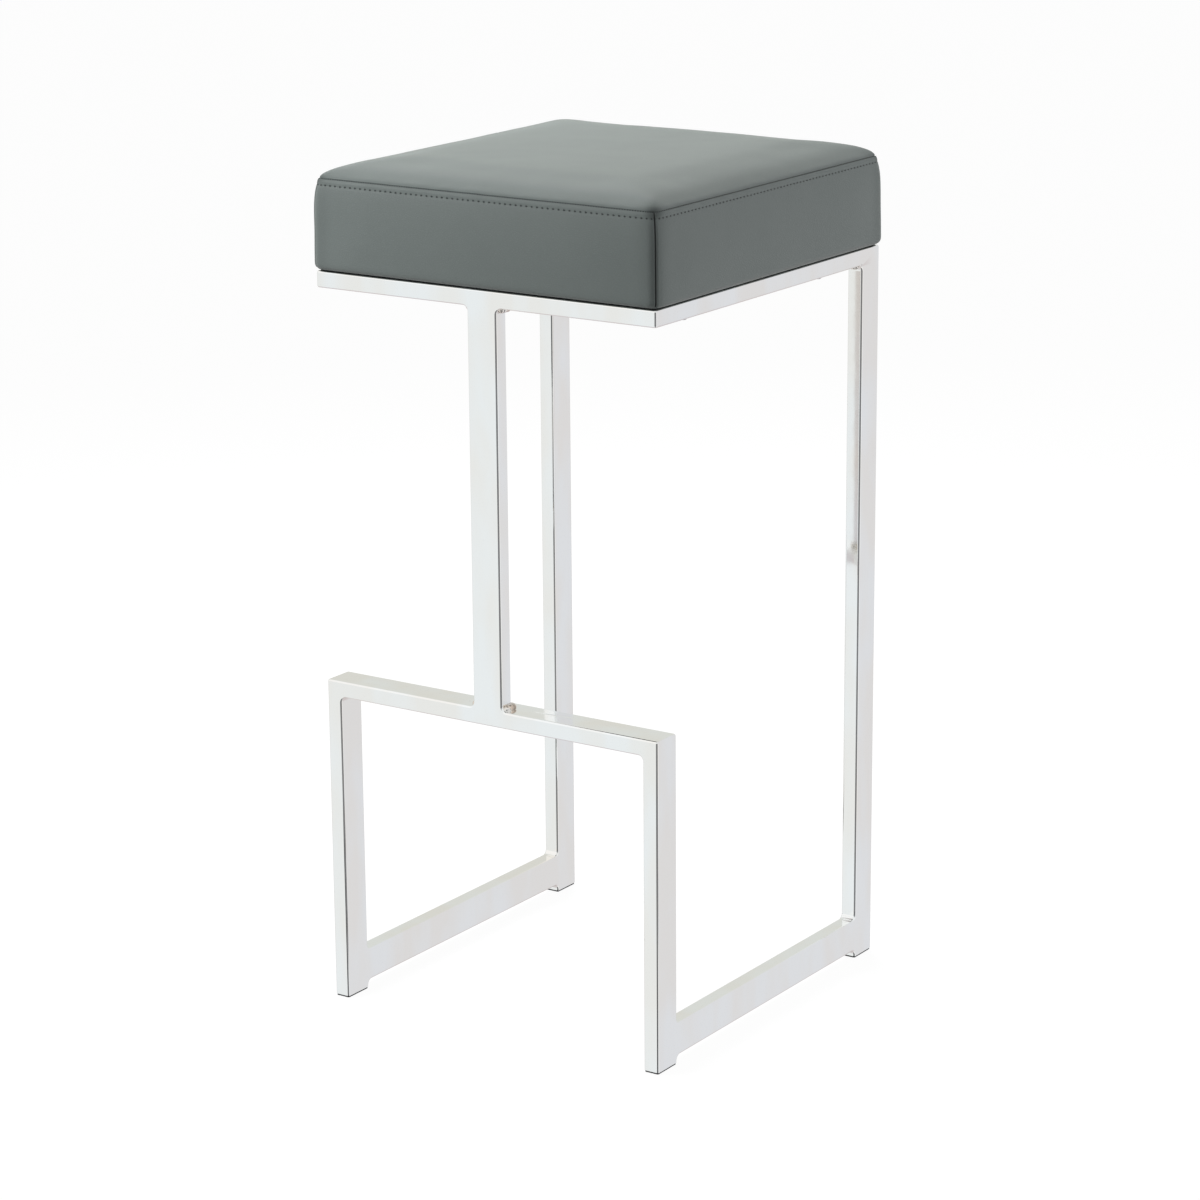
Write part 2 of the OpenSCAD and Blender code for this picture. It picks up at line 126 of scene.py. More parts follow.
class StoolFrameSizes(bpy.types.PropertyGroup):
    """Sizes of the welded and polished steel frame"""

    edge_radius: length("Tube edge radius", "Outer radius of the tube's long edges", 2)
    edge_segments: bpy.props.IntProperty(
        name="Edge facets", description="Facets round one tube edge", default=5)
    fillet_radius: length("Ground weld radius", "Radius of a weld fillet that is ground and polished", 5)
    fillet_steps: bpy.props.IntProperty(
        name="Fillet facets", description="Facets across one weld fillet", default=10)
    fillet_stop: length("Fillet stop", "How far a ground fillet stops short of a hidden corner", 2.5)
    bead_radius: length("Bead radius", "Radius of a weld bead that is left unground", 3)


class StoolCushionSizes(bpy.types.PropertyGroup):
    """Sizes of the sewn cushion"""

    cell: length("Cloth cell", "Side of one cell of the cloth that is simulated", 5.5)
    corner_radius: length("Corner radius", "Radius of an upright corner", 10)
    lower_radius: length("Lower edge radius", "Radius of the edge that turns in under the board", 4.2)
    crown: length("Crown", "Height of the top panel over its seam, before it swells", 13.4)
    shoulder: length("Shoulder", "Width over which the top panel rises from its seam", 46)
    seam_draw: length("Seam draw", "How far the top seam draws the bands in", 4.5)
    slack: length("Swell", "How much flatter the panels are before they are inflated", 1.5)
    pressure: bpy.props.FloatProperty(
        name="Pressure", description="Pressure of the filling in the cloth simulation", default=2)
    swell_limit: length("Swell limit", "Furthest that the simulation may move a point", 2.5)
    ease_rounds: bpy.props.IntProperty(
        name="Ease rounds", description="How often the swelling is evened out, which takes out buckles",
        default=12)
    groove_depth: length("Seam depth", "Depth of the valley at a sewn seam", 1.3)
    row_drop: length("Stitch row", "How far below the top seam the row of stitches runs", 6)
    stitch_pitch: length("Stitch pitch", "Length from one stitch to the next", 5.5)
    stitch_length: length("Stitch length", "Length of thread that shows in one stitch", 2.6)
    thread_radius: length("Thread radius", "Radius of the sewing thread", 0.37)


class StoolFinishes(bpy.types.PropertyGroup):
    """Colours of the stool's finishes, as sRGB hex values"""

    chrome: colour("Chrome", "Polished chrome plate", "#F7F9F9")
    leatherette: colour("Leatherette", "Grey leatherette cover", "#6F7775")
    # Much darker than the leatherette, which the thread matches: painted shade of stitches sunk in their dips
    thread: colour("Thread", "Sewing thread", "#3C4341")
    glide: colour("Glide", "Black moulded plastic", "#1B1B1D")
    dust_cloth: colour("Dust cloth", "Black spunbonded cloth", "#17181A")
    zinc: colour("Zinc", "Bright zinc plate", "#C4C8CB")


class StoolStudio(bpy.types.PropertyGroup):
    """Camera, lights and floor"""

    lens: bpy.props.FloatProperty(name="Lens", description="Focal length in millimetres", default=112.4)
    azimuth: angle("Azimuth", "Camera's angle round the stool", 33.95)
    elevation: angle("Elevation", "Camera's angle above the horizon", 15.33)
    roll: angle("Roll", "Camera's turn about its own axis", -0.43)
    distance: length("Distance", "Camera's distance from the point it aims at", 3318)
    aim: bpy.props.FloatVectorProperty(
        name="Aim", description="Point that the camera aims at", default=(0.0249, -0.0445, 0.3699),
        subtype="TRANSLATION")


# Nodes

def linear(hex_text):
    """Linear RGBA of an sRGB hex colour."""
    parts = [int(hex_text[i:i + 2], 16) / 255 for i in (1, 3, 5)]
    return (*[c / 12.92 if c <= 0.04045 else ((c + 0.055) / 1.055) ** 2.4 for c in parts], 1)


def feed(tree, node, **inputs):
    """Sets inputs of a node, by name or as i and a number, to values, hex colours, sockets or other nodes."""
    for name, value in inputs.items():
        key = int(name[1:]) if name[0] == "i" and name[1:].isdigit() else name.replace("_", " ")
        if isinstance(value, bpy.types.Node):
            value = value.outputs[0]
        if isinstance(value, bpy.types.NodeSocket):
            tree.links.new(value, node.inputs[key])
        else:
            node.inputs[key].default_value = linear(value) if isinstance(value, str) else value


def add_node(tree, kind, settings=(), **inputs):
    """Adds one shader node. settings are its own properties, and inputs go to feed."""
    node = tree.nodes.new("ShaderNode" + kind)
    for name, value in dict(settings).items():
        setattr(node, name, value)
    feed(tree, node, **inputs)
    return node


def maths(tree, operation, *values):
    return add_node(tree, "Math", {"operation": operation}, **{"i%d" % i: v for i, v in enumerate(values)})


def remap(tree, value, first, last, low=0.0, high=1.0, kind="LINEAR"):
    """Goes from low to high where a value goes from first to last."""
    return add_node(tree, "MapRange", {"interpolation_type": kind}, Value=value, From_Min=first,
                    From_Max=last, To_Min=low, To_Max=high)


def blend(tree, factor, first, second):
    return add_node(tree, "Mix", {"data_type": "RGBA"}, i0=factor, i6=first, i7=second).outputs[2]


def clouds(tree, place, scale, detail, distortion=0.0):
    return add_node(tree, "TexNoise", Vector=place, Scale=scale, Detail=detail, Distortion=distortion)


def relief(tree, height, distance, strength=0.5, **more):
    return add_node(tree, "Bump", Strength=strength, Distance=distance, Height=height, **more)


def new_material(name):
    """An empty node material, and its tree."""
    material = bpy.data.materials.new(name)
    material.use_nodes = True
    material.node_tree.nodes.clear()
    return material, material.node_tree


def surface(name, **inputs):
    """A material with one Principled shader, returned with its tree, shader and place on the object."""
    material, tree = new_material(name)
    shader = add_node(tree, "BsdfPrincipled", **inputs)
    add_node(tree, "OutputMaterial", Surface=shader)
    return material, tree, shader, add_node(tree, "TexCoord").outputs["Object"]


# Meshes and pieces

def opened(mesh):
    """A bmesh of a mesh."""
    bm = bmesh.new()
    bm.from_mesh(mesh)
    return bm


def closed(name, bm):
    """A new mesh of a bmesh, which is freed."""
    mesh = bpy.data.meshes.new(name)
    bm.to_mesh(mesh)
    bm.free()
    return mesh


def new_piece(name, bm, material):
    """Makes a bmesh a smooth object at the origin, and frees the bmesh."""
    mesh = closed(name, bm)
    for polygon in mesh.polygons:
        polygon.use_smooth = True
    piece = bpy.data.objects.new(name, mesh)
    bpy.context.scene.collection.objects.link(piece)
    mesh.materials.append(material)
    return piece


def settle(piece, slot, *nodes):
    """Puts a piece on its body, and hides the nodes that it stands for. slot is not used."""
    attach(piece, BODY)
    if nodes:
        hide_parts(*nodes)


def thicken(piece, thickness):
    """Gives a sheet its thickness, on the inner side."""
    modifier = piece.modifiers.new("thickness", "SOLIDIFY")
    modifier.thickness = thickness
    modifier.offset = -1


def applied_mesh(piece):
    """A new mesh of a piece with its modifiers applied."""
    graph = bpy.context.evaluated_depsgraph_get()
    graph.update()
    return bpy.data.meshes.new_from_object(piece.evaluated_get(graph))


def shift(bm, moves):
    """Moves each point by its own vector."""
    for vert, move in zip(list(bm.verts), moves):
        vert.co += move


def slice_at(bm, point, normal, dist, **more):
    bmesh.ops.bisect_plane(bm, geom=[*bm.verts, *bm.edges, *bm.faces], dist=dist, plane_co=point,
                           plane_no=normal, **more)


def round_edges(bm, edges, width, segments, clamp=True):
    bmesh.ops.bevel(bm, geom=edges, offset=width, offset_type="OFFSET", segments=segments, profile=0.5,
                    affect="EDGES", clamp_overlap=clamp, material=-1)


def aimed(place, way):
    """A matrix that puts a shape at a place with its own Z along a way."""
    return Matrix.Translation(place) @ way.to_track_quat("Z", "Y").to_matrix().to_4x4()


# Materials

def polished_chrome():
    """Chrome plate over steel, buffed to a mirror: nearly colourless, with faint buffing waves."""
    material, tree, shader, place = surface("polished_chrome_plate", Metallic=1.0)
    stretched = add_node(tree, "Mapping", Vector=place, Scale=(26, 26, 9))
    warmer = remap(tree, clouds(tree, stretched, 1.0, 2.0), 0.38, 0.62)
    feed(tree, shader, Base_Color=blend(tree, warmer, bpy.context.scene.stool_finishes.chrome, "#F6F4F0"),
         Roughness=remap(tree, clouds(tree, place, 120.0, 4.0), 0, 1, 0.03, 0.09),
         Normal=relief(tree, clouds(tree, place, 38.0, 2.0), 2 * MM, 0.02))
    return material


def unbuffed_chrome():
    """Chrome plate over a weld bead, as plated and never buffed: duller than the tube, with a painted brown
    reflection in soft clouds.
    """
    material, tree, shader, place = surface("unbuffed_chrome_plate", Metallic=1.0, Base_Color="#EDE6DC",
                                            Roughness=0.3)
    # Painted reflection: brown clouds over the bead's colour
    brown_reflection = remap(tree, clouds(tree, place, 1 / (9 * MM), 0.0), 0.4, 0.7)
    feed(tree, shader, Base_Color=blend(tree, brown_reflection, "#F8F5F1", "#DCCBBA"))
    return material


def leatherette(form):
    """Vinyl-coated cloth with a calendered grain: satin, evenly coloured, and dented at each needle hole,
    with painted shade in the holes and along the seams.
    """
    pitch = form.sizes.stitch_pitch
    material, tree, shader, place = surface("calendered_vinyl_leatherette")
    base = linear(bpy.context.scene.stool_finishes.leatherette)

    def sums(operation, *values):
        return maths(tree, operation, *values)

    def share_of_base(share):
        return [min(1, c * share) for c in base[:3]] + [1]

    def near_seam(name, inner, outer):
        gap = add_node(tree, "Attribute", {"attribute_name": name}).outputs["Fac"]
        return remap(tree, gap, inner * MM, outer * MM, 1.0, 0.0, "SMOOTHSTEP")

    # Where a point lies on the flat panels, and how far along its side
    flat = add_node(tree, "SeparateXYZ",
                    Vector=add_node(tree, "Attribute", {"attribute_name": "cut"}).outputs["Vector"])
    share_x = sums("DIVIDE", sums("ABSOLUTE", flat.outputs["X"]), form.half_x)
    share_y = sums("DIVIDE", sums("ABSOLUTE", flat.outputs["Y"]), form.half_y)
    along = add_node(tree, "Mix", {"data_type": "FLOAT"}, i0=sums("GREATER_THAN", share_y, share_x),
                     i2=flat.outputs["Y"], i3=flat.outputs["X"])
    # A small dip round each needle hole, where painted shade darkens the hole
    phase = sums("PINGPONG", sums("ADD", along, pitch * 200), pitch / 2)
    across = sums("DIVIDE", sums("SUBTRACT", flat.outputs["Z"], form.row), 0.95 * MM)
    reach = sums("DIVIDE", phase, 1.2 * MM)
    far = sums("SQRT", sums("ADD", sums("MULTIPLY", across, across), sums("MULTIPLY", reach, reach)))
    hole_dent_and_shade = remap(tree, far, 0.35, 1.15, 1.0, 0.0, "SMOOTHSTEP")
    # The real grain is about 1 mm wide, and is drawn nearly twice as coarse so that it shows
    grain = add_node(tree, "TexVoronoi", {"feature": "DISTANCE_TO_EDGE"}, Vector=place,
                     Scale=1 / (1.9 * MM), Randomness=1.0)
    pebble = remap(tree, grain, 0.0, 0.35)
    cloud = clouds(tree, place, 9.0, 3.0)
    patches = sums("ADD", sums("MULTIPLY", cloud, 0.6), sums("MULTIPLY", pebble, 0.4))
    blotch = blend(tree, patches, share_of_base(0.92), share_of_base(1.07))
    # Painted shade at the seams: a dashed dark line along the top seam, a whole one along the corner seams,
    # painted shade that spreads beside the corner seams, and most painted shade where the two seams meet
    fine = sums("PINGPONG", sums("ADD", along, 520 * MM), 1.3 * MM)
    dash = remap(tree, fine, 0.4 * MM, 0.9 * MM, 1.0, 0.3)
    painted_meeting_shade = sums("MULTIPLY", near_seam("corner_gap", 0.5, 15.0), near_seam("top_gap", 0.5, 12.0))
    seams = sums("MULTIPLY", near_seam("top_gap", 0.3, 0.95), dash)
    # Each of these marks is painted shade
    for fold in (near_seam("corner_gap", 0.3, 1.1),
                 sums("MULTIPLY", near_seam("corner_gap", 1.0, 24.0), 0.18), sums("MULTIPLY", painted_meeting_shade, 0.6)):
        seams = sums("MAXIMUM", seams, fold)
    # Painted shade in each needle hole
    stitched = blend(tree, hole_dent_and_shade, blotch, share_of_base(0.22))
    grain_relief = relief(tree, pebble, 0.12 * MM, 0.6)
    dents = add_node(tree, "Bump", {"invert": True}, Strength=0.6, Distance=0.5 * MM, Height=hole_dent_and_shade,
                     Normal=grain_relief)
    # The darkest colour is the painted shade at the seams, which are also rougher
    feed(tree, shader, Base_Color=blend(tree, seams, stitched, share_of_base(0.16)),
         Roughness=sums("ADD", remap(tree, cloud, 0, 1, 0.33, 0.42), sums("MULTIPLY", seams, 0.4)),
         Normal=dents)
    return material


def thread_material():
    """Twisted polyester thread: a soft lustre with fine diagonal plies, and much darker than the leatherette
    it matches, as painted shade of stitches sunk in their dips.
    """
    material, tree, shader, place = surface("twisted_polyester_thread", Roughness=0.55)
    plies = add_node(tree, "TexWave", {"bands_direction": "DIAGONAL"}, Vector=place, Scale=1 / (0.9 * MM),
                     Distortion=1.0).outputs["Fac"]
    # This dark colour is painted shade of the stitches' dips
    base = linear(bpy.context.scene.stool_finishes.thread)
    darker = [c * 0.6 for c in base[:3]] + [1]
    feed(tree, shader, Base_Color=blend(tree, plies, darker, base), Normal=relief(tree, plies, 0.1 * MM, 0.4))
    return material


def polyester_wadding():
    """Carded polyester fibre: white, soft and fuzzy."""
    material, tree, shader, place = surface("carded_polyester_wadding", Base_Color="#ECECE8", Roughness=0.95)
    fibre = clouds(tree, place, 420.0, 5.0, 2.5)
    feed(tree, shader, Base_Color=blend(tree, fibre, "#D9D9D4", "#F4F4F1"),
         Normal=relief(tree, fibre, 0.8 * MM))
    return material


def cut_foam():
    """Sawn polyurethane foam: cream, matt, with open cells that the saw cut across."""
    material, tree, shader, place = surface("sawn_polyurethane_foam", Base_Color="#E8DDB4", Roughness=0.9)
    cells = add_node(tree, "TexVoronoi", Vector=place, Scale=1 / (1.4 * MM))
    feed(tree, shader, Base_Color=blend(tree, cells, "#D8CB9C", "#EDE4C2"),
         Normal=relief(tree, cells, 0.5 * MM))
    return material


def sanded_plywood():
    """Sanded birch plywood, rotary cut: pale, with long-grained faces and dark glue lines on its edges."""
    material, tree, shader, place = surface("sanded_birch_plywood", Base_Color="#D9BE92", Roughness=0.6)
    grain = clouds(tree, add_node(tree, "Mapping", Vector=place, Scale=(9, 140, 140)), 1.0, 5.0, 0.6)
    plies = add_node(tree, "TexWave", {"bands_direction": "Z"}, Vector=place,
                     Scale=math.pi / (10 * 3.0 * MM)).outputs["Fac"]
    wood = blend(tree, grain, "#B98F5C", "#E4CDA6")
    feed(tree, shader, Base_Color=blend(tree, maths(tree, "LESS_THAN", plies, 0.06), wood, "#7A5836"),
         Normal=relief(tree, grain, 0.2 * MM, 0.3))
    return material


def spunbonded_cloth():
    """Spunbonded polypropylene dust cloth: black, matt, with a grid of tiny heat-pressed points."""
    dark = bpy.context.scene.stool_finishes.dust_cloth
    material, tree, shader, place = surface("spunbonded_polypropylene", Base_Color=dark, Roughness=0.85)
    points = add_node(tree, "TexVoronoi", Vector=place, Scale=1 / (1.6 * MM), Randomness=0.0)
    fibre = clouds(tree, place, 700.0, 4.0, 2.0)
    height = maths(tree, "MULTIPLY_ADD", fibre, 0.5, remap(tree, points, 0.2, 0.4))
    feed(tree, shader, Base_Color=blend(tree, fibre, dark, "#2A2B2E"), Normal=relief(tree, height, 0.2 * MM))
    return material


def moulded_plastic():
    """Injection-moulded polyethylene: black, with a fine spark-eroded texture that keeps it matt."""
    base = bpy.context.scene.stool_finishes.glide
    material, tree, shader, place = surface("moulded_polyethylene", Base_Color=base, Roughness=0.5)
    scuff = clouds(tree, place, 160.0, 4.0, 1.5)
    feed(tree, shader, Base_Color=blend(tree, scuff, base, "#2C2C2E"),
         Roughness=remap(tree, scuff, 0, 1, 0.42, 0.62),
         Normal=relief(tree, clouds(tree, place, 1 / (0.4 * MM), 3.0), 0.05 * MM, 0.4))
    return material


def zinc_plate():
    """Bright zinc plate over steel: bluish grey metal, slightly clouded, with tiny pits."""
    zinc = bpy.context.scene.stool_finishes.zinc
    material, tree, shader, place = surface("bright_zinc_plate", Metallic=1.0, Base_Color=zinc,
                                            Roughness=0.32)
    cloud = clouds(tree, place, 260.0, 4.0)
    feed(tree, shader, Base_Color=blend(tree, cloud, "#B4B9BD", "#CFD3D5"),
         Roughness=remap(tree, cloud, 0, 1, 0.24, 0.42), Normal=relief(tree, cloud, 0.05 * MM, 0.3))
    return material


# Welded frame

def block(bm, low, high):
    """Adds a closed block between two corners."""
    low, high = Vector(low), Vector(high)
    matrix = Matrix.Translation((high + low) / 2) @ Matrix.Diagonal((*(high - low), 1))
    bmesh.ops.create_cube(bm, size=1, matrix=matrix)


def fillet(bm, corner, a, b, along, radius, steps, sunk):
    """Adds a closed weld fillet that runs by the vector along, in the corner between two faces.

    a and b point out along the faces, and sunk is how deep the fillet reaches into them.
    """
    start = bm.verts.new(corner + a * radius)
    bmesh.ops.spin(bm, geom=[start], cent=corner + (a + b) * radius, axis=b.cross(a), angle=math.pi / 2,
                   steps=steps, use_duplicate=False, dvec=(0, 0, 0))
    arc = [start]
    while True:
        following = [e.other_vert(arc[-1]) for e in arc[-1].link_edges if e.other_vert(arc[-1]) not in arc]
        if not following:
            break
        arc.append(following[0])
    back = [bm.verts.new(corner + p) for p in (b * radius - a * sunk, -(a + b) * sunk, a * radius - b * sunk)]
    grown = bmesh.ops.extrude_face_region(bm, geom=[bm.faces.new(arc + back)])
    moved = [v for v in grown["geom"] if isinstance(v, bmesh.types.BMVert)]
    bmesh.ops.translate(bm, verts=moved, vec=along)
    bmesh.ops.recalc_face_normals(bm, faces=bm.faces)


def frame_solids(sizes):
    """The frame's sharp members and ground weld fillets, each a closed mesh that overlaps its neighbours."""
    stop, sunk = sizes.fillet_stop, 1 * MM
    low_radius = min(sizes.fillet_radius, FLOOR_LOW.z - FOOT_Z - 0.4 * MM)
    solids = []

    def add(make, *arguments):
        bm = bmesh.new()
        make(bm, *arguments)
        solids.append(closed("sharp", bm))

    def add_fillet(corner, a, b, along, radius=sizes.fillet_radius):
        add(fillet, Vector(corner), a, b, Vector(along), radius, sizes.fillet_steps, sunk)

    for sign in SIGNS:
        rail_y = sorted((sign * OUTER_Y, sign * INNER_Y))
        add(block, (-OUTER_X, rail_y[0], RAIL_UNDER), (OUTER_X, rail_y[1], RAIL_TOP))
        rail_x = sorted((sign * OUTER_X, sign * INNER_X))
        add(block, (rail_x[0], -OUTER_Y, RAIL_UNDER), (rail_x[1], OUTER_Y, RAIL_TOP))
        leg_x = sorted((sign * OUTER_X, sign * LEG_INNER_X))
        add(block, (leg_x[0], -OUTER_Y, FOOT_Z), (leg_x[1], -INNER_Y, REST_TOP))
        add(block, (leg_x[0], INNER_Y, FOOT_Z), (leg_x[1], OUTER_Y, RAIL_TOP))
        add(block, (leg_x[0], -OUTER_Y, FLOOR_LOW.z), (leg_x[1], OUTER_Y, FLOOR_HIGH.z))
        inner = sign * LEG_INNER_X
        for height, up in POST_ENDS:
            add_fillet((sign * POST_HIGH.x, -OUTER_Y, height), sign * X, up * Z, (0, TUBE_THIN - stop, 0))
        add_fillet((inner, -OUTER_Y, REST_UNDER), -sign * X, -Z, (0, TUBE_WIDE, 0))
        for end in SIGNS:
            for height, up, leg in ((FLOOR_HIGH.z, 1, sizes.fillet_radius), (FLOOR_LOW.z, -1, low_radius)):
                add_fillet((inner, end * FLOOR_RAIL_Y, height), -end * Y, up * Z,
                           (sign * TUBE_THIN, 0, 0), leg)
        add_fillet((sign * (LEG_INNER_X + stop), INNER_Y, RAIL_UNDER), -Y, -Z,
                   (sign * (TUBE_THIN - stop), 0, 0))
        add_fillet((inner, INNER_Y + stop, RAIL_UNDER), -sign * X, -Z, (0, TUBE_WIDE - stop, 0))
    for height, up in POST_ENDS:
        add_fillet((POST_LOW.x + stop, POST_HIGH.y, height), Y, up * Z, X * (2 * (POST_HIGH.x - stop)))
    add(block, (-POST_HIGH.x, -OUTER_Y, REST_UNDER + sunk), (POST_HIGH.x, POST_HIGH.y, RAIL_TOP - sunk))
    add(block, (-OUTER_X, -OUTER_Y, REST_UNDER), (OUTER_X, -INNER_Y, REST_TOP))
    return solids


def united(solids):
    """One closed mesh from overlapping closed ones."""
    scene = bpy.context.scene
    helpers = bpy.data.collections.new("helpers")
    scene.collection.children.link(helpers)
    for mesh in solids[1:]:
        helpers.objects.link(bpy.data.objects.new("helper", mesh))
    base = bpy.data.objects.new("helper_base", solids[0])
    scene.collection.objects.link(base)
    join = base.modifiers.new("join", "BOOLEAN")
    join.operation = "UNION"
    join.solver = "EXACT"
    join.operand_type = "COLLECTION"
    join.collection = helpers
    whole = applied_mesh(base)
    for helper in [base, *helpers.objects]:
        bpy.data.objects.remove(helper)
    bpy.data.collections.remove(helpers)
    return whole


def polished_frame(sizes):
    """The whole frame as one closed bmesh, with its tube edges rounded."""
    merge = 0.005 * MM
    bm = opened(united(frame_solids(sizes)))
    bmesh.ops.remove_doubles(bm, verts=bm.verts, dist=merge)
    bmesh.ops.dissolve_limit(bm, angle_limit=math.radians(1), verts=bm.verts, edges=bm.edges)
    bmesh.ops.recalc_face_normals(bm, faces=bm.faces)
    # Planes, by axis and place, whose edges stay sharp: cut tube ends and hidden ends of fillets
    stop = sizes.fillet_stop
    spared = [(2, FOOT_Z), (1, -OUTER_Y + TUBE_THIN - stop), (1, OUTER_Y - TUBE_WIDE + stop)]
    spared += [(0, sign * place) for place in (LEG_INNER_X + stop, POST_HIGH.x - stop) for sign in SIGNS]
    convex = [e for e in bm.edges if e.is_manifold and e.calc_face_angle_signed(0) > math.radians(30)
              and not any(all(abs(v.co[axis] - place) < TOUCHING for v in e.verts) for axis, place in spared)]
    round_edges(bm, convex, sizes.edge_radius, sizes.edge_segments, clamp=False)
    bmesh.ops.remove_doubles(bm, verts=bm.verts, dist=merge)
    bm.normal_update()
    steady = bm.verts.layers.float_vector.new("steady")
    for vert in bm.verts:
        vert[steady] = sum((f.normal * f.calc_area() for f in vert.link_faces), Vector()).normalized()
    return bm


def cut_away(bm, point, outward):
    """Cuts off all that lies beyond a plane, and closes the cut."""
    outward, point = Vector(outward).normalized(), Vector(point)
    slice_at(bm, point, outward, 0.002 * MM, clear_outer=True)

    def in_plane(verts):
        return all(abs((v.co - point).dot(outward)) < 0.004 * MM for v in verts)

    stray = [f for f in bm.faces if f.normal.dot(outward) < -0.5 and in_plane(f.verts)]
    bmesh.ops.delete(bm, geom=stray, context="FACES")
    rim = [e for e in bm.edges if e.is_boundary and in_plane(e.verts)]
    if rim:
        bmesh.ops.holes_fill(bm, edges=rim, sides=0)


def cut_from(whole, planes):
    """A mesh of the whole frame without what lies beyond some planes of (point, outward direction)."""
    bm = whole.copy()
    for point, outward in planes:
        cut_away(bm, point, outward)
    bmesh.ops.delete(bm, geom=[v for v in bm.verts if not v.link_faces], context="VERTS")
    bmesh.ops.recalc_face_normals(bm, faces=bm.faces)
    return closed("cut", bm)


def frame_member(whole, name, cuts, material):
    """One member, or one group of welds, with the shading that it had on the whole frame."""
    bm = bmesh.new()
    for planes in cuts:
        bm.from_mesh(cut_from(whole, planes))
    piece = new_piece(name, bm, material)
    mesh = piece.data
    steady = [entry.vector.normalized() for entry in mesh.attributes["steady"].data]
    widest = math.cos(math.radians(40))
    normals = []
    for polygon in mesh.polygons:
        flat = polygon.normal.copy()
        normals += [steady[i] if steady[i].dot(flat) > widest else flat for i in polygon.vertices]
    mesh.normals_split_custom_set(normals)
    return piece


def weld_cuts(corner, a, b, reach, *more):
    """Planes round one weld fillet, in the corner between two faces. a and b point out along them."""
    corner = Vector(corner)
    return [(corner, -a), (corner, -b), (corner + a * reach, a), (corner + b * reach, b), *more]


def weld_bead(bm, start, end, radius):
    """Adds a bead of weld metal: a rod with round ends that runs from start to end."""
    start, end = Vector(start), Vector(end)
    way = end - start
    bmesh.ops.create_cone(bm, cap_ends=True, segments=20, radius1=radius, radius2=radius, depth=way.length,
                          matrix=aimed((start + end) / 2, way))
    for place in (start, end):
        bmesh.ops.create_uvsphere(bm, u_segments=20, v_segments=12, radius=radius, matrix=aimed(place, way))


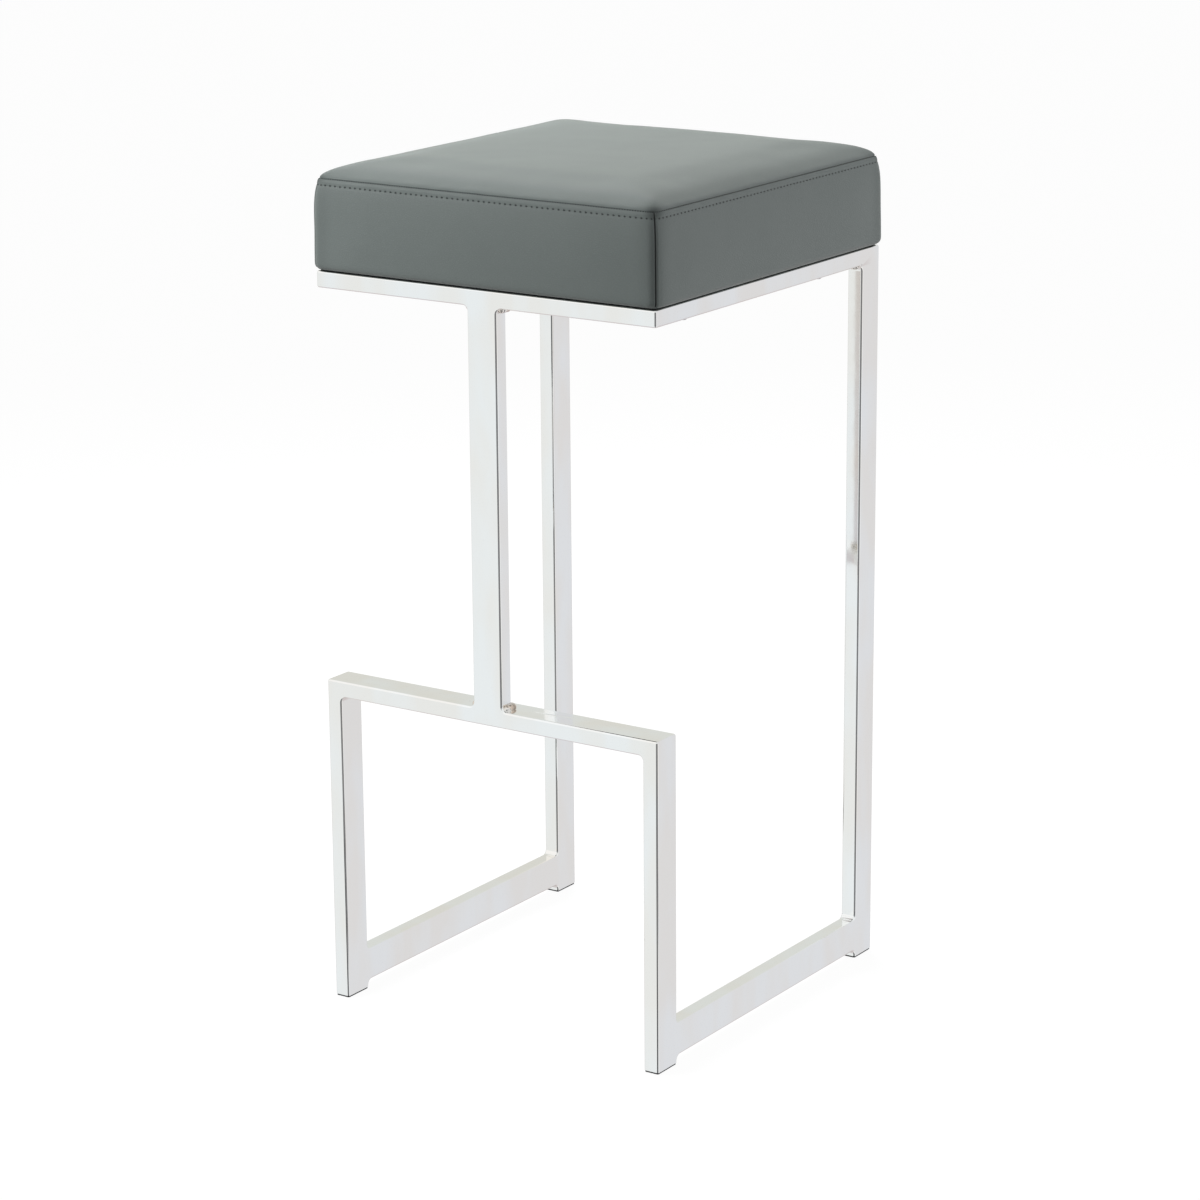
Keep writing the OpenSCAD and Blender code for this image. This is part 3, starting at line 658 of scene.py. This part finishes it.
class STOOL_OT_welded_frame(bpy.types.Operator):
    """Make the welded, ground and chromed steel frame, member by member"""

    bl_idname = "stool.welded_frame"
    bl_label = "Welded Frame"

    def execute(self, context):
        sizes = context.scene.stool_frame
        chrome = polished_chrome()
        whole = polished_frame(sizes)
        pieces = {name: [planes] for name, planes in self.members().items()}
        pieces.update(self.welds(2 * sizes.fillet_radius))
        for name, cuts in pieces.items():
            settle(frame_member(whole, name + "_chromed", cuts, chrome), "chrome_tube", name)
        whole.free()
        settle(new_piece("beads_chromed", self.beads(sizes.bead_radius), unbuffed_chrome()), "chrome_tube")
        return {"FINISHED"}

    def members(self):
        """The planes that cut each member from the frame."""
        under = ((0, 0, RAIL_UNDER), -Z)
        found = {}
        for name, end in (("seat_rail_front", -1), ("seat_rail_rear", 1)):
            found[name] = [under, ((-OUTER_X, end * OUTER_Y, 0), (-1, -end, 0)),
                           ((OUTER_X, end * OUTER_Y, 0), (1, -end, 0))]
        found["front_post"] = [((0, 0, RAIL_UNDER), Z), ((0, 0, REST_TOP), -Z), (POST_HIGH, X),
                               (POST_LOW, -X)]
        found["footrest_bar"] = [((0, -INNER_Y, 0), Y), ((0, 0, REST_TOP), Z), ((0, 0, REST_UNDER), -Z),
                                 ((-OUTER_X, 0, REST_TOP), (-1, 0, -1)), ((OUTER_X, 0, REST_TOP), (1, 0, -1))]
        for side, sign in (("left", -1), ("right", 1)):
            middle = ((0, 0, 0), -sign * X)
            inner = ((sign * LEG_INNER_X, 0, 0), -sign * X)
            found["seat_rail_" + side] = [under, ((sign * OUTER_X, -OUTER_Y, 0), (-sign, -1, 0)),
                                          ((sign * OUTER_X, OUTER_Y, 0), (-sign, 1, 0))]
            found["front_leg_" + side] = [middle, ((0, -INNER_Y, 0), Y),
                                          ((sign * OUTER_X, 0, REST_TOP), (-sign, 0, 1)), inner]
            found["rear_leg_" + side] = [middle, ((0, INNER_Y, 0), -Y), ((0, 0, RAIL_UNDER), Z), inner]
            found["floor_rail_" + side] = [middle, ((0, FLOOR_RAIL_Y, 0), Y), ((0, -FLOOR_RAIL_Y, 0), -Y),
                                           (FLOOR_HIGH, Z), (FLOOR_LOW, -Z)]
        return found

    def welds(self, reach):
        """The ground fillets of each group of joints, as the planes that cut them from the frame."""
        post, rest, floor, rear = [], [], [], []
        for height, up in POST_ENDS:
            post.append(weld_cuts((0, POST_HIGH.y, height), Y, up * Z, reach, (POST_HIGH, X), (POST_LOW, -X)))
        for sign in SIGNS:
            out, middle, inner = sign * X, ((0, 0, 0), -sign * X), sign * LEG_INNER_X
            for height, up in POST_ENDS:
                post.append(weld_cuts((sign * POST_HIGH.x, 0, height), out, up * Z, reach))
            rest.append(weld_cuts((inner, 0, REST_UNDER), -out, -Z, reach))
            for end in SIGNS:
                for height, up in ((FLOOR_HIGH.z, Z), (FLOOR_LOW.z, -Z)):
                    floor.append(weld_cuts((0, end * FLOOR_RAIL_Y, height), -end * Y, up, reach, middle))
            rear.append(weld_cuts((0, INNER_Y, RAIL_UNDER), -Y, -Z, reach, middle))
            rear.append(weld_cuts((inner, 0, RAIL_UNDER), -out, -Z, reach, ((0, INNER_Y, 0), -Y)))
        return {"post_welds": post, "footrest_welds": rest, "floor_rail_welds": floor, "rear_leg_welds": rear}

    def beads(self, radius):
        """Beads on both sides of the post and behind it, at its foot and top, and before each rear leg."""
        bm = bmesh.new()
        thinner, clear, out = 0.8 * radius, 0.4 * radius, 0.5 * radius
        low, back = RAIL_UNDER - clear, INNER_Y - clear
        for sign in SIGNS:
            weld_bead(bm, (sign * (LEG_INNER_X + radius), back, low),
                      (sign * (OUTER_X - 2 * radius), back, low), thinner)
        front = -OUTER_Y + 6 * MM
        behind = POST_HIGH.y + out
        for height, up in reversed(POST_ENDS):
            level = height + up * out
            for sign in SIGNS:
                side = sign * (POST_HIGH.x + out)
                weld_bead(bm, (side, front, level), (side, POST_HIGH.y, level), radius)
            weld_bead(bm, (POST_LOW.x, behind, level), (POST_HIGH.x, behind, level), radius)
        return bm


# Cushion

def side_cuts(half, cell, near):
    """Places to cut one side of the cushion's block, with narrower cells at its ends."""
    inner = half - near[-1]
    count = round(2 * inner / cell)
    places = [-inner + 2 * inner * i / count for i in range(count + 1)]
    return sorted(places + [sign * (half - gap) for gap in near[:-1] for sign in SIGNS])


def falling(value):
    return math.exp(-value * value)


def lesser(a, b):
    """The lesser of two shares, with a soft turn from the one to the other."""
    return 0 if min(a, b) < 1e-3 else (a ** -8 + b ** -8 - 1) ** (-1 / 8)


def ring_point(flat, halves, inset, radius):
    """Plan position of a point of a square ring, once the ring has round corners."""
    near = 0 if halves[0] - abs(flat[0]) <= halves[1] - abs(flat[1]) else 1
    far = 1 - near
    radius = max(radius - inset, 0)
    sides = [half - inset for half in halves]
    spans = [side - radius for side in sides]
    reach = (abs(flat[far]) - spans[far]) / radius if radius else 0
    plan = [flat[0], flat[1]]
    if reach > 0:
        turn = min(reach, 1) * math.pi / 4
        plan[near] = math.copysign(spans[near] + radius * math.cos(turn), flat[near])
        plan[far] = math.copysign(spans[far] + radius * math.sin(turn), flat[far])
    else:
        plan[near] = math.copysign(sides[near], flat[near])
    return Vector(plan)


class CushionForm:
    """The cushion's block of flat panels, and where its points lie once it is sewn and filled."""

    # How far in from the sides the top and the underside still follow the shape of the bands
    TOP_REACH, UNDER_REACH = 70 * MM, 60 * MM
    # How suddenly the top panel rises from its seam
    RISE_POWER = 3.3

    def __init__(self, sizes):
        self.sizes = sizes
        self.half_x = COVER_HALF_X
        self.half_y = -BAND_LOW.y
        self.low = BAND_LOW.z
        self.seam = self.low + BAND_HEIGHT
        self.row = self.seam - sizes.row_drop

    def gaps(self, flat):
        """How far a point of the flat panels lies from the sides."""
        return self.half_x - abs(flat.x), self.half_y - abs(flat.y)

    def profile(self, share):
        """How far a band stands back from its widest, at a share of its height."""
        # Its foot turns in over the lowest 0.35, and the top seam draws on the upper 0.58
        lower = max(0, 1 - share / 0.35)
        upper = max(0, (share - 0.42) / 0.58)
        flatter = self.sizes.slack * max(0, 1 - (2 * share - 1) ** 2)
        return 1 * MM * lower ** 2 + self.sizes.seam_draw * upper ** 3 + flatter

    def place(self, flat):
        """Where a point of the flat panels lies on the sewn cushion."""
        sizes, edge = self.sizes, self.sizes.lower_radius
        gap_x, gap_y = self.gaps(flat)
        gap = max(0, min(gap_x, gap_y))
        rise = flat.z - self.low
        back = self.profile(rise / (self.seam - self.low))
        height = flat.z
        inset = 0
        # The angle at the lower edge, from 0 at the band's foot to a right angle at the underside
        turn = None
        if flat.z > self.seam - SAME:
            inset = gap
            back *= max(0, 1 - gap / self.TOP_REACH)
            rises = [1 - (1 - min(g / sizes.shoulder, 1)) ** self.RISE_POWER for g in (gap_x, gap_y)]
            height = flat.z + sizes.crown * lesser(*rises)
        elif rise < edge - SAME and gap < SAME:
            turn = (1 - rise / edge) * math.pi / 4
        elif rise < SAME:
            inset = gap
            if gap < edge:
                turn = math.pi / 2 - (1 - gap / edge) * math.pi / 4
            else:
                back *= max(0, 1 - gap / self.UNDER_REACH)
        if turn is not None:
            back += edge * (1 - math.cos(turn)) - inset
            height = self.low + edge * (1 - math.sin(turn))
        plan = ring_point(flat, (self.half_x, self.half_y), inset, sizes.corner_radius)
        if gap_x <= gap_y + SAME:
            plan.x -= math.copysign(back, flat.x)
            plan.y *= 1 - back / self.half_y
        else:
            plan.y -= math.copysign(back, flat.y)
            plan.x *= 1 - back / self.half_x
        return Vector((*plan, height))


def cushion_cloth(form):
    """The cover's closed mesh before it swells. cut keeps each point's place on the flat panels."""
    cell = form.sizes.cell
    bm = bmesh.new()
    block(bm, (-form.half_x, -form.half_y, form.low), (form.half_x, form.half_y, form.seam))
    near = (4 * MM, 8 * MM)
    steps = 12
    rise = [form.low + gap for gap in near]
    heights = rise[:-1] + [rise[-1] + (form.row - rise[-1]) * i / steps for i in range(steps + 1)]
    for axis, places in ((X, side_cuts(form.half_x, cell, near)), (Y, side_cuts(form.half_y, cell, near)),
                         (Z, heights)):
        for place in places:
            slice_at(bm, axis * place, axis, SAME)
    for name in ("top_gap", "corner_gap"):
        bm.verts.layers.float.new(name)
    cut = bm.verts.layers.float_vector.new("cut")
    sewn = bm.verts.layers.float.new("sewn")
    row = bm.verts.layers.float.new("row")
    for vert in bm.verts:
        vert[cut] = vert.co
        gaps = form.gaps(vert.co)
        on_side = min(gaps) < SAME
        vert[sewn] = 1 if max(gaps) < SAME or (on_side and form.seam - vert.co.z < SAME) else 0
        vert[row] = 1 if on_side and abs(vert.co.z - form.row) < SAME else 0
    crease = bm.edges.layers.float.new("crease_edge")
    for edge in bm.edges:
        edge[crease] = 0.5 if all(v[sewn] > 0.5 for v in edge.verts) else 0
    for vert in bm.verts:
        vert.co = form.place(vert[cut])
    return bm


def inflate(piece, form):
    """Swells the closed cover with a cloth simulation, held at its seams and under the board."""
    scene = bpy.context.scene
    mesh = piece.data
    last_frame = 20
    sewn = [entry.value for entry in mesh.attributes["sewn"].data]
    start = [v.co.copy() for v in mesh.vertices]
    held = piece.vertex_groups.new(name="held")
    fixed = [v.index for v in mesh.vertices if sewn[v.index] > 0.5 or v.co.z < form.low + 0.5 * MM]
    held.add(fixed, 1.0, "REPLACE")
    cloth = piece.modifiers.new("inflate", "CLOTH")
    for name, value in (("quality", 6), ("mass", 0.3), ("tension_stiffness", 25), ("shear_stiffness", 15),
                        ("compression_stiffness", 25), ("bending_stiffness", 3), ("use_pressure", True),
                        ("uniform_pressure_force", form.sizes.pressure), ("vertex_group_mass", "held")):
        setattr(cloth.settings, name, value)
    cloth.settings.effector_weights.gravity = 0
    cloth.point_cache.frame_start = 1
    cloth.point_cache.frame_end = last_frame
    for step in range(1, last_frame + 1):
        scene.frame_set(step)
    swollen = applied_mesh(piece)
    piece.modifiers.remove(cloth)
    piece.vertex_groups.clear()
    scene.frame_set(1)
    limit = form.sizes.swell_limit
    moves = []
    for before, now in zip(start, swollen.vertices):
        move = now.co - before
        moves.append(move * (limit / max(move.length, limit)))
    bpy.data.meshes.remove(swollen)
    still = set(fixed)
    beside = [[] for _ in start]
    for edge in mesh.edges:
        beside[edge.vertices[0]].append(edge.vertices[1])
        beside[edge.vertices[1]].append(edge.vertices[0])
    for _ in range(form.sizes.ease_rounds):
        moves = [move if i in still else (move + sum((moves[j] for j in beside[i]), Vector()))
                 / (len(beside[i]) + 1) for i, move in enumerate(moves)]
    for vertex, move in zip(mesh.vertices, moves):
        vertex.co = start[vertex.index] + move


def shrunk(cover, form, distance):
    """A copy of the cover, moved inwards everywhere, and further under the seams, which are drawn in."""
    bm = opened(cover.data)
    bm.normal_update()
    cut = bm.verts.layers.float_vector["cut"]
    moves = []
    for vert in bm.verts:
        gaps = form.gaps(vert[cut])
        from_top = math.hypot(min(gaps), form.seam - vert[cut].z)
        deeper = max(1 * MM * falling(from_top / (7 * MM)), 3.2 * MM * falling(math.hypot(*gaps) / (11 * MM)))
        moves.append(vert.normal * -(distance + deeper))
    shift(bm, moves)
    return bm


def samples_of(edges, count=6):
    """A search tree of points along some edges."""
    points = [a.co.lerp(b.co, i / count) for a, b in (e.verts for e in edges) for i in range(count + 1)]
    tree = KDTree(len(points))
    for index, point in enumerate(points):
        tree.insert(point, index)
    tree.balance()
    return tree


def sew(bm, form):
    """Draws the seams in: a valley at each seam, a fold beside the corner seams, and a row of stitches."""
    seam_strip, row_strip = 1.5 * MM, 1.1 * MM
    valley, dimple = 0.75 * MM, 0.9 * MM
    depth_at_seam = form.sizes.groove_depth
    cut = bm.verts.layers.float_vector["cut"]
    sewn, row, top_gap, corner_gap = (bm.verts.layers.float[name]
                                      for name in ("sewn", "row", "top_gap", "corner_gap"))

    def edges_where(test):
        return [e for e in bm.edges if all(test(v) for v in e.verts)]

    def on_seam(vert):
        return vert[sewn] > 0.999 and vert[cut].z > form.seam - TOUCHING

    def on_corner(vert):
        return vert[sewn] > 0.999 and max(form.gaps(vert[cut])) < TOUCHING

    def on_row(vert):
        return vert[row] > 0.999

    top_seam, corner_seams = edges_where(on_seam), edges_where(on_corner)
    trees = [samples_of(edges) for edges in (top_seam, corner_seams, edges_where(on_row))]
    round_edges(bm, [*set(top_seam + corner_seams)], seam_strip, 4)
    round_edges(bm, edges_where(on_row), row_strip, 2)
    bm.normal_update()
    moves = []
    for vert in bm.verts:
        from_top, from_corner, from_row = (tree.find(vert.co)[2] for tree in trees)
        vert[top_gap], vert[corner_gap] = from_top, from_corner
        depth = max(depth_at_seam * falling(from_top / valley),
                    depth_at_seam * 0.9 * falling(from_corner / valley),
                    0.35 * MM * falling(from_row / dimple))
        depth += 0.9 * MM * falling(math.hypot(from_top, from_corner) / (9 * MM))
        pucker = noise.noise(vert.co * 75 + Vector((4.7, 2.2, 8.1)))
        pillow = (0.25 + 0.3 * pucker) * MM * falling((from_top - 3 * MM) / (3.2 * MM))
        if form.gaps(vert[cut])[0] < 0.5 * MM:
            pillow += 0.45 * MM * falling((from_corner - 1.5 * MM) / (0.7 * MM))
        moves.append(vert.normal * (pillow - depth))
    shift(bm, moves)


def soft_unevenness(bm, form):
    """Foam and hand work leave the cover very slightly uneven."""
    bm.normal_update()
    for vert in bm.verts:
        if vert.co.z < form.low + 1 * MM:
            continue
        broad = noise.noise(vert.co * 14 + Vector((3.1, 0.4, 7.7)))
        fine = noise.noise(vert.co * 45 + Vector((9.2, 5.1, 1.3)))
        vert.co += vert.normal * (0.45 * MM * broad + 0.12 * MM * fine)


class STOOL_OT_cushion(bpy.types.Operator):
    """Make the sewn leatherette cushion cover, inflated over its foam"""

    bl_idname = "stool.cushion"
    bl_label = "Cushion Cover"

    def execute(self, context):
        form = CushionForm(context.scene.stool_cushion)
        piece = new_piece("cushion_cover", cushion_cloth(form), leatherette(form))
        inflate(piece, form)
        self.fill(piece, form)
        finer = piece.modifiers.new("finer", "SUBSURF")
        finer.levels = finer.render_levels = 1
        bm = opened(applied_mesh(piece))
        piece.modifiers.remove(finer)
        soft_unevenness(bm, form)
        sew(bm, form)
        bm.to_mesh(piece.data)
        bm.free()
        for polygon in piece.data.polygons:
            polygon.use_smooth = True
        settle(piece, "leatherette", "cover_top", "cover_band_front", "cover_band_rear",
               "cover_band_left", "cover_band_right")
        return {"FINISHED"}

    def fill(self, cover, form):
        """The wadding under the cover and the foam block in it, shaped by the cover that holds them."""
        bm = shrunk(cover, form, 1.6 * MM)
        bmesh.ops.delete(bm, geom=[f for f in bm.faces if f.normal.z < -0.9], context="FACES")
        wadding = new_piece("wadding_wrap", bm, polyester_wadding())
        thicken(wadding, 4 * MM)
        settle(wadding, "wadding", "wadding")
        bm = shrunk(cover, form, 6.5 * MM)
        for vert in bm.verts:
            vert.co.z = max(vert.co.z, BOARD_TOP)
        foam = new_piece("foam_core", bm, cut_foam())
        settle(foam, "foam", "foam_block")


class STOOL_OT_stitches(bpy.types.Operator):
    """Make the thread of the row of stitches below the top seam"""

    bl_idname = "stool.stitches"
    bl_label = "Stitches"

    def execute(self, context):
        sizes = context.scene.stool_cushion
        form = CushionForm(sizes)
        cover = bpy.data.objects["cushion_cover"].data
        cut = [entry.vector for entry in cover.attributes["cut"].data]
        row = cover.attributes["row"].data
        stitched = [v for v in cover.vertices
                    if row[v.index].value > 0.9 and abs(cut[v.index].z - form.row) < 0.2 * MM]
        bm = bmesh.new()
        for axis, half, span in ((0, form.half_y, form.half_x), (1, form.half_x, form.half_y)):
            for sign in SIGNS:
                on_side = [v for v in stitched if sign * cut[v.index][1 - axis] > half - 0.1 * MM]
                points = sorted(((cut[v.index][axis], v.co.copy(), v.normal.copy()) for v in on_side),
                                key=lambda entry: entry[0])
                self.sew_row(bm, points, span, sizes)
        settle(new_piece("topstitching", bm, thread_material()), "leatherette")
        return {"FINISHED"}

    def sew_row(self, bm, points, span, sizes):
        """Adds the stitches of one side. span is half of the side's length."""
        pitch, radius = sizes.stitch_pitch, sizes.thread_radius
        count = math.floor((span - 0.6 * pitch) / pitch)
        for i in range(-count, count + 1):
            (start, out_a), (end, out_b) = (
                self.along(points, i * pitch + sign * sizes.stitch_length / 2) for sign in SIGNS)
            way = end - start
            place = (start + end) / 2 + (out_a + out_b).normalized() * radius * 0.3
            bmesh.ops.create_uvsphere(bm, u_segments=6, v_segments=5, radius=1, matrix=aimed(place, way)
                                      @ Matrix.Diagonal((radius, radius, way.length / 2, 1)))

    @staticmethod
    def along(points, place):
        """Position and normal on a row of points, at a place along it."""
        for before, after in zip(points, points[1:]):
            if after[0] >= place:
                break
        share = (place - before[0]) / max(after[0] - before[0], 1e-9)
        share = min(max(share, 0), 1)
        return before[1].lerp(after[1], share), before[2].lerp(after[2], share)


class STOOL_OT_hidden_parts(bpy.types.Operator):
    """Give the board, fixings and glides their finishes, and make the cloth under the board"""

    bl_idname = "stool.hidden_parts"
    bl_label = "Board, Fixings and Glides"

    def execute(self, context):
        finishes = {"seat_board": sanded_plywood()}
        finishes.update(dict.fromkeys(("staples", "tee_nuts", "seat_bolts", "flat_washers", "spring_washers"),
                                      zinc_plate()))
        finishes.update(dict.fromkeys(("glide_front_left", "glide_front_right", "glide_rear_left",
                                       "glide_rear_right"), moulded_plastic()))
        for node, material in finishes.items():
            mesh = frame["nodes"][node].data
            mesh.materials.clear()
            mesh.materials.append(material)
        self.dust_cloth()
        return {"FINISHED"}

    def dust_cloth(self):
        """Thin black cloth, stapled flat under the board, that sags a little between the rails."""
        wide, deep = DUST_HIGH.x - DUST_LOW.x, DUST_HIGH.y - DUST_LOW.y
        bm = bmesh.new()
        bmesh.ops.create_grid(bm, x_segments=60, y_segments=60, size=0.5,
                              matrix=Matrix.Diagonal((wide, deep, 1, 1)))
        open_x, open_y = INNER_X - 1 * MM, INNER_Y - 1 * MM
        sag, uneven = 1.6 * MM, 0.35 * MM
        for vert in bm.verts:
            inside_x = max(0, 1 - (vert.co.x / open_x) ** 2)
            inside_y = max(0, 1 - (vert.co.y / open_y) ** 2)
            ripple = uneven * noise.noise(vert.co * 22)
            vert.co.z = DUST_HIGH.z - (inside_x * inside_y) ** 0.7 * (sag + ripple)
        cloth = new_piece("dust_cloth", bm, spunbonded_cloth())
        thicken(cloth, DUST_HIGH.z - DUST_LOW.z)
        settle(cloth, "dust_cloth", "dust_cover")


# Studio

class STOOL_OT_studio(bpy.types.Operator):
    """Make the floor, the lights, the world and the camera"""

    bl_idname = "stool.studio"
    bl_label = "Studio"

    def execute(self, context):
        scene = context.scene
        scene.view_settings.view_transform = "Standard"
        place_camera(scene, scene.stool_studio)
        make_world(scene)
        make_lamps(scene)
        make_floor()
        return {"FINISHED"}


def place_camera(scene, studio):
    camera_data = bpy.data.cameras.new("camera")
    camera_data.lens = studio.lens
    camera_data.sensor_width = 36
    camera = bpy.data.objects.new("camera", camera_data)
    scene.collection.objects.link(camera)
    a, e = studio.azimuth, studio.elevation
    back = Vector((math.sin(a) * math.cos(e), -math.cos(a) * math.cos(e), math.sin(e)))
    turn = (-back).to_track_quat("-Z", "Y").to_matrix() @ Matrix.Rotation(studio.roll, 3, "Z")
    camera.matrix_world = Matrix.Translation(Vector(studio.aim) + back * studio.distance) @ turn.to_4x4()
    scene.camera = camera


def make_world(scene):
    """White studio: plain as a light, but with soft cards and upright strips in what metal mirrors."""
    world = bpy.data.worlds.new("white studio")
    world.use_nodes = True
    tree = world.node_tree
    tree.nodes.clear()
    way = add_node(tree, "TexCoord").outputs["Generated"]
    flat = add_node(tree, "VectorMath", {"operation": "MULTIPLY"}, i0=way, i1=(1, 1, 0))
    level = add_node(tree, "VectorMath", {"operation": "NORMALIZE"}, i0=flat).outputs["Vector"]

    def towards(direction, first, last, most=1.0, of=way):
        """Rises softly where a view turns towards a direction."""
        dot = add_node(tree, "VectorMath", {"operation": "DOT_PRODUCT"}, i0=of,
                       i1=Vector(direction).normalized())
        return remap(tree, dot.outputs["Value"], first, last, 0.0, most, "SMOOTHSTEP")

    behind = blend(tree, towards((1, 0, 0), -0.4, 0.4), "#DDDED9", "#E2E2E5")
    cards = blend(tree, towards((0, 1, 0), -0.2, 0.7), "#EFF2F3", behind)
    cards = blend(tree, towards((-0.30, 0.45, -0.84), 0.5, 0.8), cards, "#D3CCCE")
    cards = blend(tree, towards((-0.50, -0.60, 0.62), 0.72, 0.88), cards, "#FEFEFE")
    # Upright strips that draw the thin lines on rounded edges, and leave broad faces light: each has
    # its bearing from the front towards the right, the half widths where it is full and gone, and its tone
    low = towards((0, 0, -1), -0.25, 0.02)
    for bearing, full, gone, tone in ((106, 9, 16, "#FEFEFE"), (45, 34, 41, "#97979A"),
                                      (16, 9, 13, "#0E0C0D"), (74, 9, 13, "#0E0C0D")):
        bearing, full, gone = (math.radians(degrees) for degrees in (bearing, full, gone))
        strip = towards((math.sin(bearing), -math.cos(bearing), 0), math.cos(gone), math.cos(full), of=level)
        cards = blend(tree, maths(tree, "MULTIPLY", low, strip), cards, tone)
    shade = blend(tree, towards((0.60, -0.78, -0.10), 0.1, 0.95, 0.75), (1, 1, 1, 1), (0.15, 0.15, 0.15, 1))
    mirrored, light, white = (add_node(tree, "Background", Color=tone, Strength=strength)
                              for tone, strength in ((cards, 1.0), (shade, 0.46), ((1, 1, 1, 1), 1.0)))
    path = add_node(tree, "LightPath")
    first = add_node(tree, "MixShader", i0=path.outputs["Is Glossy Ray"], i1=light, i2=mirrored)
    seen = add_node(tree, "MixShader", i0=path.outputs["Is Camera Ray"], i1=first, i2=white)
    add_node(tree, "OutputWorld", Surface=seen)
    scene.world = world


def make_lamps(scene):
    aim = Vector((0, 0, 0.6))
    for name, place, size, power in (("key softbox", (-0.9, 0.95, 1.75), 1.0, 35),
                                     ("left softbox", (-0.8, -0.8, 1.18), 0.6, 10.8),
                                     ("right softbox", (2.3, 0.8, 0.5), 1.4, 20)):
        lamp_data = bpy.data.lights.new(name, "AREA")
        lamp_data.shape = "SQUARE"
        lamp_data.size = size
        lamp_data.energy = power
        lamp = bpy.data.objects.new(name, lamp_data)
        scene.collection.objects.link(lamp)
        lamp.matrix_world = aimed(Vector(place), Vector(place) - aim)
        lamp.visible_camera = False
        lamp.visible_glossy = False


def make_floor():
    """White paper that takes the shadow, glows towards the camera, and is clear from below."""
    bm = bmesh.new()
    bmesh.ops.create_grid(bm, x_segments=1, y_segments=1, size=12,
                          matrix=Matrix.Translation((0, 0, -0.3 * MM)))
    material, tree = new_material("white_paper_sweep")
    to_camera = add_node(tree, "LightPath").outputs["Is Camera Ray"]
    paper = add_node(tree, "BsdfDiffuse", Color=blend(tree, to_camera, "#A9A9A7", "#F8F8F7"))
    glow = add_node(tree, "Emission", Color=(1, 1, 1, 1), Strength=1.03)
    mixed = add_node(tree, "MixShader", i0=maths(tree, "MULTIPLY", to_camera, 0.92), i1=paper, i2=glow)
    one_sided = add_node(tree, "MixShader", i0=add_node(tree, "NewGeometry").outputs["Backfacing"], i1=mixed,
                         i2=add_node(tree, "BsdfTransparent"))
    add_node(tree, "OutputMaterial", Surface=one_sided)
    floor = new_piece("floor", bm, material)
    floor.visible_glossy = False


# Add-on

class STOOL_PT_panel(bpy.types.Panel):
    """Panel that lists the stool's operators"""

    bl_idname = "STOOL_PT_panel"
    bl_label = "Bar Stool"
    bl_space_type = "VIEW_3D"
    bl_region_type = "UI"
    bl_category = "Bar Stool"

    def draw(self, context):
        for operator in OPERATORS:
            self.layout.operator(operator.bl_idname)


PROPERTY_GROUPS = {"stool_frame": StoolFrameSizes, "stool_cushion": StoolCushionSizes,
                   "stool_finishes": StoolFinishes, "stool_studio": StoolStudio}
OPERATORS = (STOOL_OT_welded_frame, STOOL_OT_cushion, STOOL_OT_stitches, STOOL_OT_hidden_parts,
             STOOL_OT_studio)


def register():
    for name, group in PROPERTY_GROUPS.items():
        bpy.utils.register_class(group)
        setattr(bpy.types.Scene, name, bpy.props.PointerProperty(type=group))
    for made in (*OPERATORS, STOOL_PT_panel):
        bpy.utils.register_class(made)


def unregister():
    for made in reversed((*OPERATORS, STOOL_PT_panel)):
        bpy.utils.unregister_class(made)
    for name, group in PROPERTY_GROUPS.items():
        delattr(bpy.types.Scene, name)
        bpy.utils.unregister_class(group)


def main():
    register()
    bpy.ops.stool.welded_frame()
    bpy.ops.stool.cushion()
    bpy.ops.stool.stitches()
    bpy.ops.stool.hidden_parts()
    bpy.ops.stool.studio()


if __name__ == "__main__":
    main()
